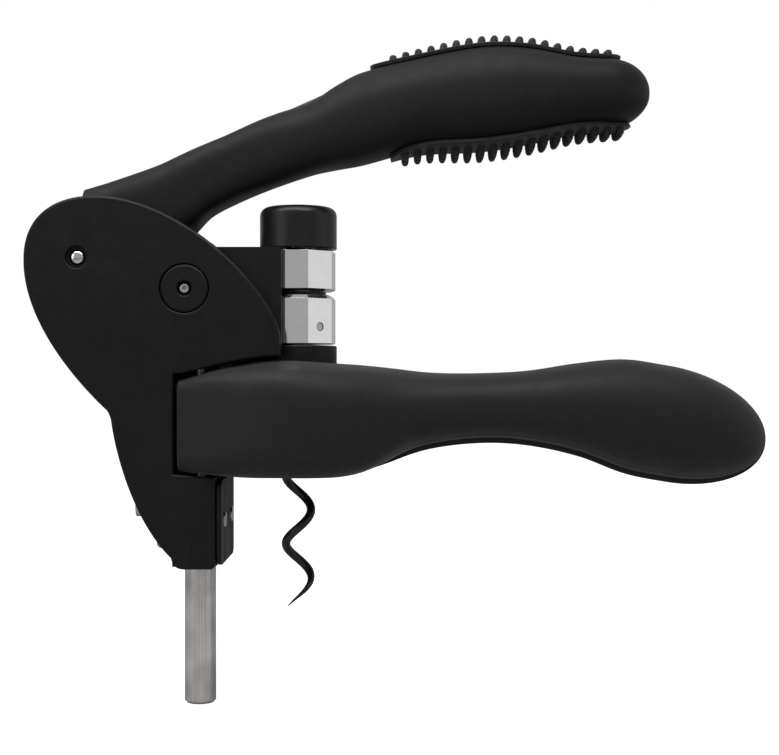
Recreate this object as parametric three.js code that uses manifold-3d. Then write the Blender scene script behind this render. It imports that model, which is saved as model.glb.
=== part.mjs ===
// Lever corkscrew: two side plates carry a forked lever that drives a carriage with the worm down into a cork
// and back up, while two hinged handles grip the neck of the bottle.
// Millimetres. +Z is up, away from the bottle, and +X points along the closed handles to their free ends.
// The origin is on the worm's axis, in the plane where the bottle's rim meets the stop.
// The lever is shown closed, with the worm fully down.

import * as THREE from "three";
import { mergeVertices } from "three/addons/utils/BufferGeometryUtils.js";
import Module from "manifold-3d";

const wasm = await Module();
wasm.setup();

// ---- Driving dimensions ----

const FIT = 0.15; // radial play between a pin or screw and its hole
const GAP = 0.3; // between pieces that lie against each other
const SLIDE = 0.2; // side play of the sliding carriage

// Worm and its head
const WORM_PITCH = 16.3;
const WORM_COIL_R = 3; // the wire's centreline from the worm's axis
const WORM_WIRE_R = 1.05;
const WORM_TIP_Z = -48.3;
const WORM_POINT = 9; // length over which the wire is ground to its point
const WORM_PHASE_Z = -25.5; // a height at which the wire is on the +X side
const HEAD_R = 9.2; // cap, collar and chuck
const HEAD_SIDES = 8;
const HEAD_CORNER_DEG = 17.7; // a corner of the facets, about the worm's axis from +X
const CAP_H = 10.7;
const COLLAR_H = 9.8;
const CHUCK_H = 11.7;
const HEAD_GROOVE = 1.0; // gap between the collar and the chuck
const CHUCK_Z = 14.2; // bottom of the chuck
const SPINDLE_R = 3.0;

// Lever drive
const TRAVEL = 49; // the carriage's stroke
const CRANK = 30; // lever pivot to drive pin
const PIVOT_X = -50.3;
const PIVOT_Z = 34.1;
const PIVOT_PIN_R = 1.7;
const DRIVE_PIN_R = 2.4;
const ARM_T = 3.9;
const ARM_HALF = 4.2; // half the width of the crank

// Carriage and rod
const CHEEK_T = 1.6;
const ROD_X = -23.5;
const ROD_R = 3.75;
const ROD_BELOW = 71.4; // the rod's lower end, below the rim
const CHEEK_FRONT_X = -3.3;
const WALL_T = 5.8; // the carriage's front wall, behind the head

// Housing
const PLATE_T = 3.0;
const TAIL_FRONT_X = -18.3;
const NOTCH_X = -28;
const TAIL_Z = -38;

// Bottle stop and handles
const NECK_R = 14.8; // inside of the closed jaws, for a bottle's neck
const PAD_T = 1.6;
const STOP_T = 3.2;
const HANDLE_END_X = 111.9;
const HANDLE_ROOT_X = NOTCH_X + 0.9;
const HINGE_X = -21.8;
const HINGE_PIN_R = 1.1;
const SHELL_T = 1.7;
const MEET = 0.6; // half the gap between the closed handles

// Lever's grip
const GRIP_END_X = 84.1;
const GRIP_HALF_WIDTH = 12;
const PAD_SKIN = 0.8;
const NUB_PITCH = 3;
const NUB_COUNT = 18;
const UPPER_NUB_H = 1.5; // at mid-pad
const LOWER_NUB_H = 2.7;

// ---- Sizes that follow ----

const HALF_SWING = Math.asin(TRAVEL / 2 / CRANK);
const DRIVE_X = PIVOT_X + CRANK * Math.cos(HALF_SWING);
const DRIVE_Z = PIVOT_Z - TRAVEL / 2;
const DRIVE_FAR_X = PIVOT_X + CRANK; // where the pin is farthest forward
const CHUCK_TOP = CHUCK_Z + CHUCK_H;
const COLLAR_Z = CHUCK_TOP + HEAD_GROOVE;
const COLLAR_TOP = COLLAR_Z + COLLAR_H;
const CAP_Z = COLLAR_TOP + GAP;
const CHEEK_IN = HEAD_R + GAP;
const CHEEK_OUT = CHEEK_IN + CHEEK_T;
const PLATE_IN = CHEEK_OUT + SLIDE;
const PLATE_OUT = PLATE_IN + PLATE_T;
const ARM_OUT = CHEEK_IN - GAP;
const ARM_IN = ARM_OUT - ARM_T;
const SPINE_HALF = ARM_IN - 0.4; // the spine and the carriage's tongue pass between the lever's arms
const HINGE_Y = PLATE_IN + PLATE_T / 2;
const JAW_R = NECK_R + PAD_T + GAP; // bore of the handle core behind its neck pad
const CORE_INSET = SHELL_T + GAP;

// ---- Making and joining solids ----

function solid(geometry) {
  const bare = geometry.index ? geometry.toNonIndexed() : geometry.clone();
  for (const name of Object.keys(bare.attributes)) {
    if (name !== "position") bare.deleteAttribute(name);
  }
  const merged = mergeVertices(bare, 1e-4);
  return new wasm.Manifold(
    new wasm.Mesh({
      numProp: 3,
      vertProperties: merged.attributes.position.array,
      triVerts: new Uint32Array(merged.index.array),
    }),
  );
}

function geometryOf(body) {
  const mesh = body.getMesh();
  const geometry = new THREE.BufferGeometry();
  const points = new Float32Array(mesh.numVert * 3);
  for (let i = 0; i < mesh.numVert; i++) {
    points.set(mesh.vertProperties.subarray(i * mesh.numProp, i * mesh.numProp + 3), i * 3);
  }
  geometry.setAttribute("position", new THREE.BufferAttribute(points, 3));
  geometry.setIndex(new THREE.BufferAttribute(new Uint32Array(mesh.triVerts), 1));
  return geometry;
}

const join = (...bodies) => bodies.reduce((all, body) => all.add(body));
const cut = (body, ...tools) => tools.reduce((left, tool) => left.subtract(tool), body);

function box(x0, x1, y0, y1, z0, z1) {
  return solid(
    new THREE.BoxGeometry(x1 - x0, y1 - y0, z1 - z0).translate((x0 + x1) / 2, (y0 + y1) / 2, (z0 + z1) / 2),
  );
}

// A round bar along Z, from z0 to z1.
function barZ(radius, z0, z1, x = 0, y = 0, sides = 24) {
  const bar = new THREE.CylinderGeometry(radius, radius, z1 - z0, sides);
  return solid(bar.rotateX(Math.PI / 2).translate(x, y, (z0 + z1) / 2));
}

// A round bar along Y, from y0 to y1.
function barY(radius, y0, y1, x, z, sides = 16) {
  const bar = new THREE.CylinderGeometry(radius, radius, y1 - y0, sides);
  return solid(bar.translate(x, (y0 + y1) / 2, z));
}

// A side outline, drawn in x and z, made as thick as y0 to y1.
function slab(shape, y0, y1, curveSegments = 8) {
  const plate = new THREE.ExtrudeGeometry(shape, { depth: y1 - y0, bevelEnabled: false, curveSegments });
  return solid(plate.rotateX(Math.PI / 2).translate(0, y1, 0));
}

// A turned piece about the worm's axis: the profile is [radius, height] pairs that start and end on the axis.
function turned(profile, sides = 28, phase = 0) {
  const points = profile.map(([r, z]) => new THREE.Vector2(r, z));
  return solid(new THREE.LatheGeometry(points, sides).rotateX(Math.PI / 2).rotateZ(phase));
}

// A smooth curve through [x, value] pairs.
function through(pairs) {
  const slope = pairs.map((_, i) => {
    const a = pairs[Math.max(0, i - 1)];
    const b = pairs[Math.min(pairs.length - 1, i + 1)];
    return (b[1] - a[1]) / (b[0] - a[0]);
  });
  return (x) => {
    let i = 0;
    while (i < pairs.length - 2 && x > pairs[i + 1][0]) i++;
    const [x0, v0] = pairs[i];
    const [x1, v1] = pairs[i + 1];
    const w = x1 - x0;
    const t = Math.min(1, Math.max(0, (x - x0) / w));
    const a = 2 * t ** 3 - 3 * t ** 2 + 1;
    const b = t ** 3 - 2 * t ** 2 + t;
    const c = -2 * t ** 3 + 3 * t ** 2;
    const d = t ** 3 - t ** 2;
    return a * v0 + b * w * slope[i] + c * v1 + d * w * slope[i + 1];
  };
}

// A closed body along X with rounded sections: section(x) gives the centre, half sizes and squareness of each,
// and may give its own half size and squareness for the half below the centre.
function bodyAlongX(x0, x1, section, sides = 20, steps = 18) {
  const body = new THREE.CylinderGeometry(1, 1, 1, sides, steps);
  const points = body.attributes.position;
  const power = (v, p) => (Math.abs(v) < 1e-9 ? 0 : Math.sign(v) * Math.abs(v) ** p);
  for (let i = 0; i < points.count; i++) {
    const share = (1 - Math.cos(Math.PI * (points.getY(i) + 0.5))) / 2;
    const x = x0 + (x1 - x0) * share;
    const reach = Math.hypot(points.getX(i), points.getZ(i));
    const turn = Math.atan2(points.getX(i), points.getZ(i));
    const s = section(x);
    const below = Math.sin(turn) < 0;
    const halfZ = below ? (s.halfBelow ?? s.halfZ) : s.halfZ;
    const square = below ? (s.squareBelow ?? s.square) : s.square;
    const y = s.y + reach * s.halfY * power(Math.cos(turn), 2 / square);
    const z = s.z + reach * halfZ * power(Math.sin(turn), 2 / square);
    points.setXYZ(i, x, y, z);
  }
  return solid(body);
}

// Rounds a body off towards x1, over the last `length`.
function roundedEnd(x, x1, length) {
  const into = Math.max(0, (x - (x1 - length)) / length);
  return Math.sqrt(Math.max(0.0016, 1 - into * into));
}

// ---- Finishes ----

const finish = (color, roughness, metalness) => new THREE.MeshStandardMaterial({ color, roughness, metalness });
const blackPlastic = finish(0x1c1b1c, 0.55, 0);
const softTouch = finish(0x232226, 0.7, 0);
const leverPaint = finish(0x1f1e20, 0.6, 0);
const rubber = finish(0x161616, 0.85, 0);
const castBlack = finish(0x1d1c1b, 0.5, 0.2);
const nylon = finish(0x2a2a2a, 0.6, 0);
const chrome = finish(0xd8d8dc, 0.15, 1);
const steel = finish(0xa9a7a3, 0.35, 1);
const wormCoating = finish(0x101010, 0.45, 0);
const greyBadge = finish(0x6a6a6e, 0.4, 0.4);

const corkscrew = new THREE.Group();
corkscrew.name = "lever_corkscrew";

function add(name, body, material, parent = corkscrew) {
  const mesh = new THREE.Mesh(geometryOf(body), material);
  mesh.name = name;
  parent.add(mesh);
}

// ---- Handles: core, soft shell and neck pad, hinged on a pin in each side plate ----

const handleCentre = through([
  [-26, -4.3], [-10, -3.4], [0, -3.4], [9, -3.5], [15, -3.1], [21, -2.6], [32, -1.6],
  [44, -1], [55, -1], [67, -1.4], [78, -3], [88, -4.7], [HANDLE_END_X, -8.4],
]);
const handleHalfHeight = through([
  [-26, 10.8], [-10, 13.3], [0, 13.8], [9, 13.2], [15, 12.4], [21, 11.3], [32, 9.1],
  [44, 8.4], [55, 9], [67, 11.2], [78, 13.7], [88, 14], [HANDLE_END_X, 14],
]);
const JAW_OUT = JAW_R + 4.6; // outside of a closed handle at the jaw
const handleHalfWidth = through([
  [-26, PLATE_OUT + 0.6], [-14, JAW_OUT - 2.4], [-5, JAW_OUT - 0.3], [3, JAW_OUT], [12, JAW_OUT - 2.2],
  [22, JAW_OUT - 6.2], [32, 12.4], [46, 10.8], [60, 11.6], [80, 13.4], [HANDLE_END_X, 12.5],
]);
const HANDLE_ROUNDING = 24;
const LIP = 1.2; // how far the core's rim stands below the shell, forward of the jaw
const JAW_BELOW = 0.6; // the jaw's underside is this much lower and flatter than its top

function handleSection(inset, lip = 0) {
  return (x) => {
    const round = roundedEnd(x, HANDLE_END_X - inset, HANDLE_ROUNDING);
    const half = handleHalfHeight(x) * round - inset;
    const jaw = THREE.MathUtils.smoothstep(-x, -28, -14); // 1 at the jaw, 0 along the grip
    const root = 3 * THREE.MathUtils.clamp((-12 - x) / 10, 0, 1); // squarer at the hinge
    return {
      y: 0,
      z: handleCentre(x),
      halfY: Math.max(0.3, handleHalfWidth(x) * round - inset),
      halfZ: Math.max(0.3, half),
      halfBelow: Math.max(0.3, half + JAW_BELOW * jaw - lip * (1 - jaw)),
      square: 2.4 + 1.8 * THREE.MathUtils.clamp((24 - x) / 30, 0, 1) + root,
      squareBelow: 2.4 + 3 * jaw + root,
    };
  };
}

// Half of the closed pair, on the +Y side. The mirror puts the other on -Y.
function handleHalf(inset, fromY, lip = 0) {
  const whole = bodyAlongX(HANDLE_ROOT_X, HANDLE_END_X - inset, handleSection(inset, lip));
  return whole.intersect(box(HANDLE_ROOT_X - 1, HANDLE_END_X + 1, fromY, 60, -60, 60));
}

// The spaces that both handles leave for the bottle, the nut holder, the rod's spine and the carriage's cheeks.
const CHEEK_RECESS_X = -14.4;
const CHEEK_RECESS_Z = 2.4;
const SPINE_PLAY = 1.9; // beside the spine, for the same swing
const ROOT_RECESS_Y = HINGE_Y + 0.3; // behind the hinge the handle swings inwards as it opens
function handleClearances(neckRadius) {
  return [
    barZ(neckRadius, -60, STOP_T + GAP, 0, 0, 32),
    barZ(HEAD_R + 0.5, 0, 60),
    box(-60, TAIL_FRONT_X + 3.6, -SPINE_HALF - SPINE_PLAY, SPINE_HALF + SPINE_PLAY, -60, 60),
    box(-60, 0, -SPINE_HALF - 0.5, SPINE_HALF + 0.5, STOP_T, 60),
    box(-60, CHEEK_RECESS_X, -PLATE_IN, PLATE_IN, CHEEK_RECESS_Z, 60),
    box(-60, HINGE_X + 1.6, -ROOT_RECESS_Y, ROOT_RECESS_Y, CHEEK_RECESS_Z, 60),
  ];
}

function handleCore() {
  const RIM_T = 2.6; // the part of the core that shows below the shell
  const rim = handleHalf(0, MEET).intersect(box(-60, 200, 0, MEET + RIM_T, -60, 60));
  const inner = handleHalf(CORE_INSET, MEET);
  const pinHole = barZ(HINGE_PIN_R + FIT, -60, 60, HINGE_X, HINGE_Y, 12);
  return cut(join(rim, inner), pinHole, ...handleClearances(JAW_R));
}

function handleShell() {
  const SHELL_FROM = MEET + 2.6 + GAP;
  const outer = handleHalf(0, SHELL_FROM, LIP);
  const hollow = bodyAlongX(HANDLE_ROOT_X - 2, HANDLE_END_X - SHELL_T, handleSection(SHELL_T));
  const pinHole = barZ(HINGE_PIN_R + FIT, -60, 60, HINGE_X, HINGE_Y, 12);
  return cut(outer, hollow, pinHole, ...handleClearances(JAW_R + 1));
}

// A rubber half ring that lines the jaw.
function neckPad() {
  const PAD_END = 12; // degrees that the pad stops short of the split, at both ends
  const PAD_Z0 = -15;
  const PAD_Z1 = -0.6;
  const turn = THREE.MathUtils.degToRad(PAD_END);
  const ring = new THREE.Shape();
  ring.absarc(0, 0, NECK_R + PAD_T, turn, Math.PI - turn, false);
  ring.absarc(0, 0, NECK_R, Math.PI - turn, turn, true);
  ring.closePath();
  const depth = PAD_Z1 - PAD_Z0;
  const pad = new THREE.ExtrudeGeometry(ring, { depth, bevelEnabled: false, curveSegments: 16 });
  return solid(pad.translate(0, 0, PAD_Z0));
}

const HINGE_PIN_Z0 = -18.6;
const HINGE_PIN_Z1 = 10.6;
const mirrored = (body) => body.mirror([0, 1, 0]);

for (const [side, place] of [["left", (body) => body], ["right", mirrored]]) {
  add(`${side}_handle_core`, place(handleCore()), nylon);
  add(`${side}_handle_shell`, place(handleShell()), softTouch);
  add(`${side}_neck_pad`, place(neckPad()), rubber);
  add(`${side}_hinge_pin`, place(barZ(HINGE_PIN_R, HINGE_PIN_Z0, HINGE_PIN_Z1, HINGE_X, HINGE_Y, 12)), steel);
}

// ---- Housing: two side plates, and the spine between them that guides the rod ----

const NOTCH_GAP = 0.7; // between a plate and the handle's root
const ADJUSTER_X = -25.5;
const ADJUSTER_Z = 26.9;
const ADJUSTER_R = 5.6;

function plateOutline() {
  const handleTop = (x) => handleCentre(x) + handleHalfHeight(x) + NOTCH_GAP;
  const handleBottom = (x) => handleCentre(x) - handleHalfHeight(x) - JAW_BELOW - GAP;
  const o = new THREE.Shape();
  o.moveTo(CHEEK_FRONT_X, handleTop(CHEEK_FRONT_X));
  o.lineTo(CHEEK_FRONT_X - 0.2, 16);
  o.bezierCurveTo(-4.3, 26.4, -26.4, 48.4, -46, 48.3);
  o.bezierCurveTo(-56, 48.4, -62.8, 43.3, -62.6, 33.3);
  o.bezierCurveTo(-62.6, 20.8, -53, 7.8, -43.5, -1.2);
  o.quadraticCurveTo(-42.5, -2.2, -42.2, -5.2);
  o.bezierCurveTo(-40.5, -15.2, -36, -28.2, -28.6, TAIL_Z + 2.6);
  o.quadraticCurveTo(-28.2, TAIL_Z, -25.6, TAIL_Z);
  o.lineTo(TAIL_FRONT_X - 1.4, TAIL_Z);
  o.quadraticCurveTo(TAIL_FRONT_X, TAIL_Z, TAIL_FRONT_X, TAIL_Z + 1.6);
  o.lineTo(TAIL_FRONT_X, handleBottom(TAIL_FRONT_X));
  o.lineTo(NOTCH_X, handleBottom(NOTCH_X));
  o.lineTo(NOTCH_X, handleTop(NOTCH_X));
  for (let i = 1; i <= 8; i++) {
    const x = NOTCH_X + ((CHEEK_FRONT_X - NOTCH_X) * i) / 8;
    o.lineTo(x, handleTop(x));
  }
  return o;
}

const DOWEL_X = -30.8;
const DOWEL_Z = -32;
const DOWEL_R = 1.2;
const DOWEL_DEPTH = 1.6; // how far it goes into each plate
const PIN_RECESS_R = 2.6; // round the domed end of the lever's pivot

function sidePlate() {
  const plate = slab(plateOutline(), PLATE_IN, PLATE_OUT, 12);
  return cut(
    plate,
    barY(PIVOT_PIN_R + FIT, 0, 60, PIVOT_X, PIVOT_Z),
    barY(PIN_RECESS_R, PLATE_OUT - 1.2, 60, PIVOT_X, PIVOT_Z),
    barY(ADJUSTER_R + FIT, 0, 60, ADJUSTER_X, ADJUSTER_Z, 32),
    barY(DOWEL_R + FIT, 0, PLATE_IN + DOWEL_DEPTH + GAP, DOWEL_X, DOWEL_Z, 12),
    barZ(HINGE_PIN_R + FIT, HINGE_PIN_Z0 - GAP, HINGE_PIN_Z1 + GAP, HINGE_X, HINGE_Y, 12),
  );
}

const SPINE_FRONT_X = TAIL_FRONT_X - 0.4;
const SPINE_TOP_Z = 18;
const SPINE_REAR_X = -35.5;
const BUSH_T = 1.2;
const BUSH_H = 7;

// The tail fills the space between the plates below the handles.
function spine() {
  const inset = new THREE.Shape();
  inset.moveTo(TAIL_FRONT_X, TAIL_Z + 0.5);
  inset.lineTo(-27.6, TAIL_Z + 0.5);
  inset.bezierCurveTo(-34.6, -29, -36.6, -24, -37.6, -17.2);
  inset.lineTo(TAIL_FRONT_X, -17.2);
  inset.closePath();
  const tail = slab(inset, -PLATE_IN + GAP, PLATE_IN - GAP);
  const column = box(SPINE_REAR_X, SPINE_FRONT_X, -SPINE_HALF, SPINE_HALF, -18, SPINE_TOP_Z);
    return cut(
    join(tail, column),
    barZ(ROD_R + FIT, -60, 60, ROD_X, 0),
    barZ(ROD_R + BUSH_T + FIT, SPINE_TOP_Z - BUSH_H, 60, ROD_X, 0),
    barZ(ROD_R + BUSH_T + FIT, -60, TAIL_Z + 0.5 + BUSH_H, ROD_X, 0),
    barY(DOWEL_R + FIT, -60, 60, DOWEL_X, DOWEL_Z, 12),
    barX(REAR_SCREW_R + FIT, -60, REAR_SCREW_X + REAR_SCREW_L, 0, REAR_SCREW_Z),
    barX(REAR_HEAD_R + GAP, -60, REAR_SCREW_X + REAR_HEAD_T + GAP, 0, REAR_SCREW_Z),
    ...[-1, 1].map((way) => barX(COVER_SCREW_R + FIT, COVER_SCREW_X, 0, way * COVER_SCREW_Y, COVER_SCREW_Z, 12)),
    barX(HOLDER_SCREW_R + FIT, HOLDER_SCREW_X, 0, 0, HOLDER_SCREW_Z),
  );
}

// A round bar along X, from x0 to x1.
function barX(radius, x0, x1, y, z, sides = 16) {
  const bar = new THREE.CylinderGeometry(radius, radius, x1 - x0, sides);
  return solid(bar.rotateZ(-Math.PI / 2).translate((x0 + x1) / 2, y, z));
}

const bush = (z0) =>
  cut(barZ(ROD_R + BUSH_T, z0, z0 + BUSH_H - GAP, ROD_X, 0), barZ(ROD_R + 0.08, -90, 90, ROD_X, 0));

const REAR_SCREW_X = -38.8; // outer face of the head
const REAR_SCREW_Z = -24.5;
const REAR_SCREW_L = 9;
const REAR_SCREW_R = 1.3;
const REAR_HEAD_R = 2.5;
const REAR_HEAD_T = 2.2;
function rearScrew() {
  const head = barX(REAR_HEAD_R, REAR_SCREW_X, REAR_SCREW_X + REAR_HEAD_T, 0, REAR_SCREW_Z);
  const shank = barX(REAR_SCREW_R, REAR_SCREW_X + 1, REAR_SCREW_X + REAR_SCREW_L - GAP, 0, REAR_SCREW_Z);
  return join(head, shank);
}

const COVER_T = 1.1;
const COVER_SCREW_R = 1;
const COVER_SCREW_X = -24; // its inner end
const COVER_SCREW_Y = 7.6;
const COVER_SCREW_Z = -27;
const COVER_HEAD_R = 1.8;
const COVER_FRONT_X = TAIL_FRONT_X + GAP + COVER_T;

// The fluted cover on the front of the tail, with rounded upright edges.
function tailCover() {
  const HALF_WIDTH = PLATE_OUT - 0.4;
  const ROUND = 0.8;
  const FLUTE_R = 0.5;
  const FLUTE_PITCH = 2.6;
  const x0 = TAIL_FRONT_X + GAP;
  const o = new THREE.Shape();
  o.moveTo(x0, -HALF_WIDTH);
  o.lineTo(COVER_FRONT_X - ROUND, -HALF_WIDTH);
  o.absarc(COVER_FRONT_X - ROUND, -HALF_WIDTH + ROUND, ROUND, -Math.PI / 2, 0, false);
  for (let i = -4; i <= 4; i++) {
    o.absarc(COVER_FRONT_X, i * FLUTE_PITCH, FLUTE_R, -Math.PI / 2, -1.5 * Math.PI, true);
  }
  o.absarc(COVER_FRONT_X - ROUND, HALF_WIDTH - ROUND, ROUND, 0, Math.PI / 2, false);
  o.lineTo(x0, HALF_WIDTH);
  o.closePath();
  const depth = 19.8;
  const cover = new THREE.ExtrudeGeometry(o, { depth, bevelEnabled: false, curveSegments: 3 });
  return cut(
    solid(cover.translate(0, 0, TAIL_Z + 0.8)),
    ...[-1, 1].map((way) => barX(COVER_SCREW_R + FIT, -60, 0, way * COVER_SCREW_Y, COVER_SCREW_Z, 12)),
    ...[-1, 1].map((way) =>
      barX(COVER_HEAD_R + FIT, COVER_FRONT_X - 0.6, 0, way * COVER_SCREW_Y, COVER_SCREW_Z)),
  );
}

const coverScrew = join(
  barX(COVER_SCREW_R, COVER_SCREW_X + GAP, COVER_FRONT_X, COVER_SCREW_Y, COVER_SCREW_Z, 12),
  barX(COVER_HEAD_R, COVER_FRONT_X - 0.3, COVER_FRONT_X + 0.4, COVER_SCREW_Y, COVER_SCREW_Z),
);

const HOLDER_SCREW_R = 1.4;
const HOLDER_SCREW_X = -19.3;
const HOLDER_SCREW_Z = 6.4;

add("left_side_plate", sidePlate(), blackPlastic);
add("right_side_plate", mirrored(sidePlate()), blackPlastic);
add("spine_block", spine(), blackPlastic);
add("upper_rod_bush", bush(SPINE_TOP_Z - BUSH_H + GAP), nylon);
add("lower_rod_bush", bush(TAIL_Z + 0.5), nylon);
const DOWEL_END = PLATE_IN + DOWEL_DEPTH;
add("tail_dowel", barY(DOWEL_R, -DOWEL_END, DOWEL_END, DOWEL_X, DOWEL_Z, 12), steel);
add("tail_cover", tailCover(), blackPlastic);
add("rear_screw", rearScrew(), steel);

// The lever's pivot pin, with domed ends, and the spacer tube between the fork's arms
function pivotPin() {
  const END = PLATE_OUT - 1.5;
  const dome = (way) => {
    const cap = new THREE.SphereGeometry(PIVOT_PIN_R, 16, 8).scale(1, 0.6, 1);
    return solid(cap.translate(PIVOT_X, way * END, PIVOT_Z));
  };
  return join(barY(PIVOT_PIN_R, -END, END, PIVOT_X, PIVOT_Z), dome(-1), dome(1));
}
const SPACER_R = 3.6;
const spacer = cut(
  barY(SPACER_R, -ARM_IN + GAP, ARM_IN - GAP, PIVOT_X, PIVOT_Z, 20),
  barY(PIVOT_PIN_R + FIT, -60, 60, PIVOT_X, PIVOT_Z),
);
add("lever_pivot_pin", pivotPin(), steel);
add("pivot_spacer", spacer, nylon);

// Guide pads that take up the carriage's side play, each with a socket screw to set it
const SOCKET_SCREW_R = 1.9;
function guidePad() {
  const disc = barY(ADJUSTER_R, PLATE_IN, PLATE_OUT, ADJUSTER_X, ADJUSTER_Z, 32);
  return cut(disc, barY(SOCKET_SCREW_R + FIT, PLATE_IN + 0.6, 60, ADJUSTER_X, ADJUSTER_Z));
}
function socketScrew() {
  const screw = barY(SOCKET_SCREW_R, PLATE_IN + 0.9, PLATE_OUT - 0.5, ADJUSTER_X, ADJUSTER_Z);
  const socket = new THREE.CylinderGeometry(1.1, 1.1, 4, 6).translate(ADJUSTER_X, PLATE_OUT + 0.6, ADJUSTER_Z);
  return cut(screw, solid(socket));
}
for (const [side, place] of [["left", (body) => body], ["right", mirrored]]) {
  add(`${side}_guide_pad`, place(guidePad()), nylon);
  add(`${side}_adjuster_screw`, place(socketScrew()), steel);
  add(`${side}_cover_screw`, place(coverScrew), steel);
}

// ---- Nut holder with the bottle stop, and the guide nut that turns the worm as it passes ----

const NUT_R = 6.6;
const NUT_H = 9;
const HOLDER_TOP_Z = CHUCK_Z - GAP;
const HOLDER_ARM_Z0 = STOP_T + 0.6;
const HOLDER_ARM_Z1 = 10.6;
const STOP_R = NECK_R - 0.2;

function nutHolder() {
  const profile = [
    [0, 0], [STOP_R, 0], [STOP_R, STOP_T], [HEAD_R, STOP_T], [HEAD_R, HOLDER_TOP_Z], [0, HOLDER_TOP_Z],
  ];
  const arm = box(SPINE_FRONT_X + GAP, -2, -SPINE_HALF, SPINE_HALF, HOLDER_ARM_Z0, HOLDER_ARM_Z1);
  return cut(
    join(turned(profile), arm),
    barZ(NUT_R + FIT, -1, NUT_H + FIT),
    barZ(WORM_COIL_R + WORM_WIRE_R + 1, -1, 60),
    barX(HOLDER_SCREW_R + FIT, -60, -HEAD_R - 1, 0, HOLDER_SCREW_Z),
  );
}

// The worm's wire, or the channel that it runs in when it is made fatter.
function wormWire(extra, fromZ, toZ, point) {
  const STEPS_PER_TURN = 16;
  const turns = (toZ - fromZ) / WORM_PITCH;
  const wire = new THREE.CylinderGeometry(1, 1, 1, 8, Math.ceil(turns * STEPS_PER_TURN));
  const points = wire.attributes.position;
  const along = new THREE.Vector3();
  const out = new THREE.Vector3();
  for (let i = 0; i < points.count; i++) {
    const z = fromZ + (points.getY(i) + 0.5) * (toZ - fromZ);
    const turn = (2 * Math.PI * (z - WORM_PHASE_Z)) / WORM_PITCH;
    const ground = point ? Math.min(1, 0.12 + (z - fromZ) / WORM_POINT) : 1;
    const radius = WORM_WIRE_R * ground + extra;
    out.set(Math.cos(turn), Math.sin(turn), 0);
    along.set(-Math.sin(turn) * WORM_COIL_R, Math.cos(turn) * WORM_COIL_R, WORM_PITCH / (2 * Math.PI)).normalize();
    const across = new THREE.Vector3().crossVectors(along, out);
    const centre = out.clone().multiplyScalar(WORM_COIL_R).setZ(z);
    centre.addScaledVector(out, points.getZ(i) * radius).addScaledVector(across, points.getX(i) * radius);
    points.setXYZ(i, centre.x, centre.y, centre.z);
  }
  return solid(wire);
}

const CHANNEL_PLAY = 0.45;
const guideNut = cut(barZ(NUT_R, 0.2, NUT_H), wormWire(CHANNEL_PLAY, -6, NUT_H + 6, false));
add("nut_holder", nutHolder(), blackPlastic);
add("guide_nut", guideNut, nylon);
add("holder_screw", barX(HOLDER_SCREW_R, HOLDER_SCREW_X + GAP, -HEAD_R - 1.4, 0, HOLDER_SCREW_Z), steel);

// ---- Carriage: cheeks with the cross slots, front wall, tongue over the rod, and the worm's head ----

// The drive pin's path departs from an even lift by this much, so the slot is that much higher than the pin.
const WORST_TURN = Math.acos(Math.sin(HALF_SWING) / HALF_SWING);
const PATH_ERROR = CRANK * Math.sin(WORST_TURN) - (TRAVEL / 2) * (WORST_TURN / HALF_SWING);
const SLOT_R = DRIVE_PIN_R + 0.25 + PATH_ERROR;
const CHEEK_REAR_X = DRIVE_X + PATH_ERROR - SLOT_R - 2.3;
const CHEEK_LOW_Z = DRIVE_Z - SLOT_R - 2;
const CHEEK_STEP_X = CHEEK_RECESS_X - GAP; // behind this the cheeks reach lower
const CARRIAGE_TOP = CAP_Z - GAP;
const WALL_REAR_X = -CHEEK_IN - WALL_T;
const TONGUE_Z = CARRIAGE_TOP - 9.8;
const CHEEK_FRONT_Z = HOLDER_ARM_Z1 + 0.8;

function crossSlot() {
  const s = new THREE.Shape();
  s.absarc(DRIVE_X + PATH_ERROR, DRIVE_Z, SLOT_R, Math.PI / 2, -Math.PI / 2, false);
  s.absarc(DRIVE_FAR_X - PATH_ERROR, DRIVE_Z, SLOT_R, -Math.PI / 2, Math.PI / 2, false);
  return s;
}

function carriageFrame() {
  const side = new THREE.Shape();
  side.moveTo(CHEEK_REAR_X, CHEEK_LOW_Z);
  side.lineTo(CHEEK_STEP_X, CHEEK_LOW_Z);
  side.lineTo(CHEEK_STEP_X, CHEEK_FRONT_Z);
  side.lineTo(CHEEK_FRONT_X, CHEEK_FRONT_Z);
  side.lineTo(CHEEK_FRONT_X, CARRIAGE_TOP);
  side.lineTo(CHEEK_REAR_X + 8, CARRIAGE_TOP);
  side.quadraticCurveTo(CHEEK_REAR_X, CARRIAGE_TOP, CHEEK_REAR_X, CARRIAGE_TOP - 8);
  side.closePath();
  const block = slab(side, -CHEEK_OUT, CHEEK_OUT);
  const behindWall = box(-60, WALL_REAR_X, -CHEEK_IN, CHEEK_IN, -60, 60);
  const tongue = box(ROD_X - ROD_R - 2, WALL_REAR_X + 1, -SPINE_HALF, SPINE_HALF, TONGUE_Z, CARRIAGE_TOP);
  return cut(
    join(cut(block, behindWall), tongue),
    barZ(CHEEK_IN, -60, 60, 0, 0, 32),
    box(-60, 60, -HEAD_R - GAP, HEAD_R + GAP, -60, CHEEK_FRONT_Z),
    slab(crossSlot(), -60, 60),
    barZ(ROD_R + FIT, -60, CARRIAGE_TOP - 2.6, ROD_X, 0),
    barZ(ROD_SCREW_R + FIT, 0, 60, ROD_X, 0, 16),
    barX(COLLAR_SCREW_R + FIT, -60, 0, 0, COLLAR_SCREW_Z),
  );
}

const ROD_SCREW_R = 1.8;
const COLLAR_SCREW_R = 1.5;
const COLLAR_SCREW_Z = COLLAR_Z + COLLAR_H / 2;
const ROD_TOP_Z = CARRIAGE_TOP - 2.6 - FIT;

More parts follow.
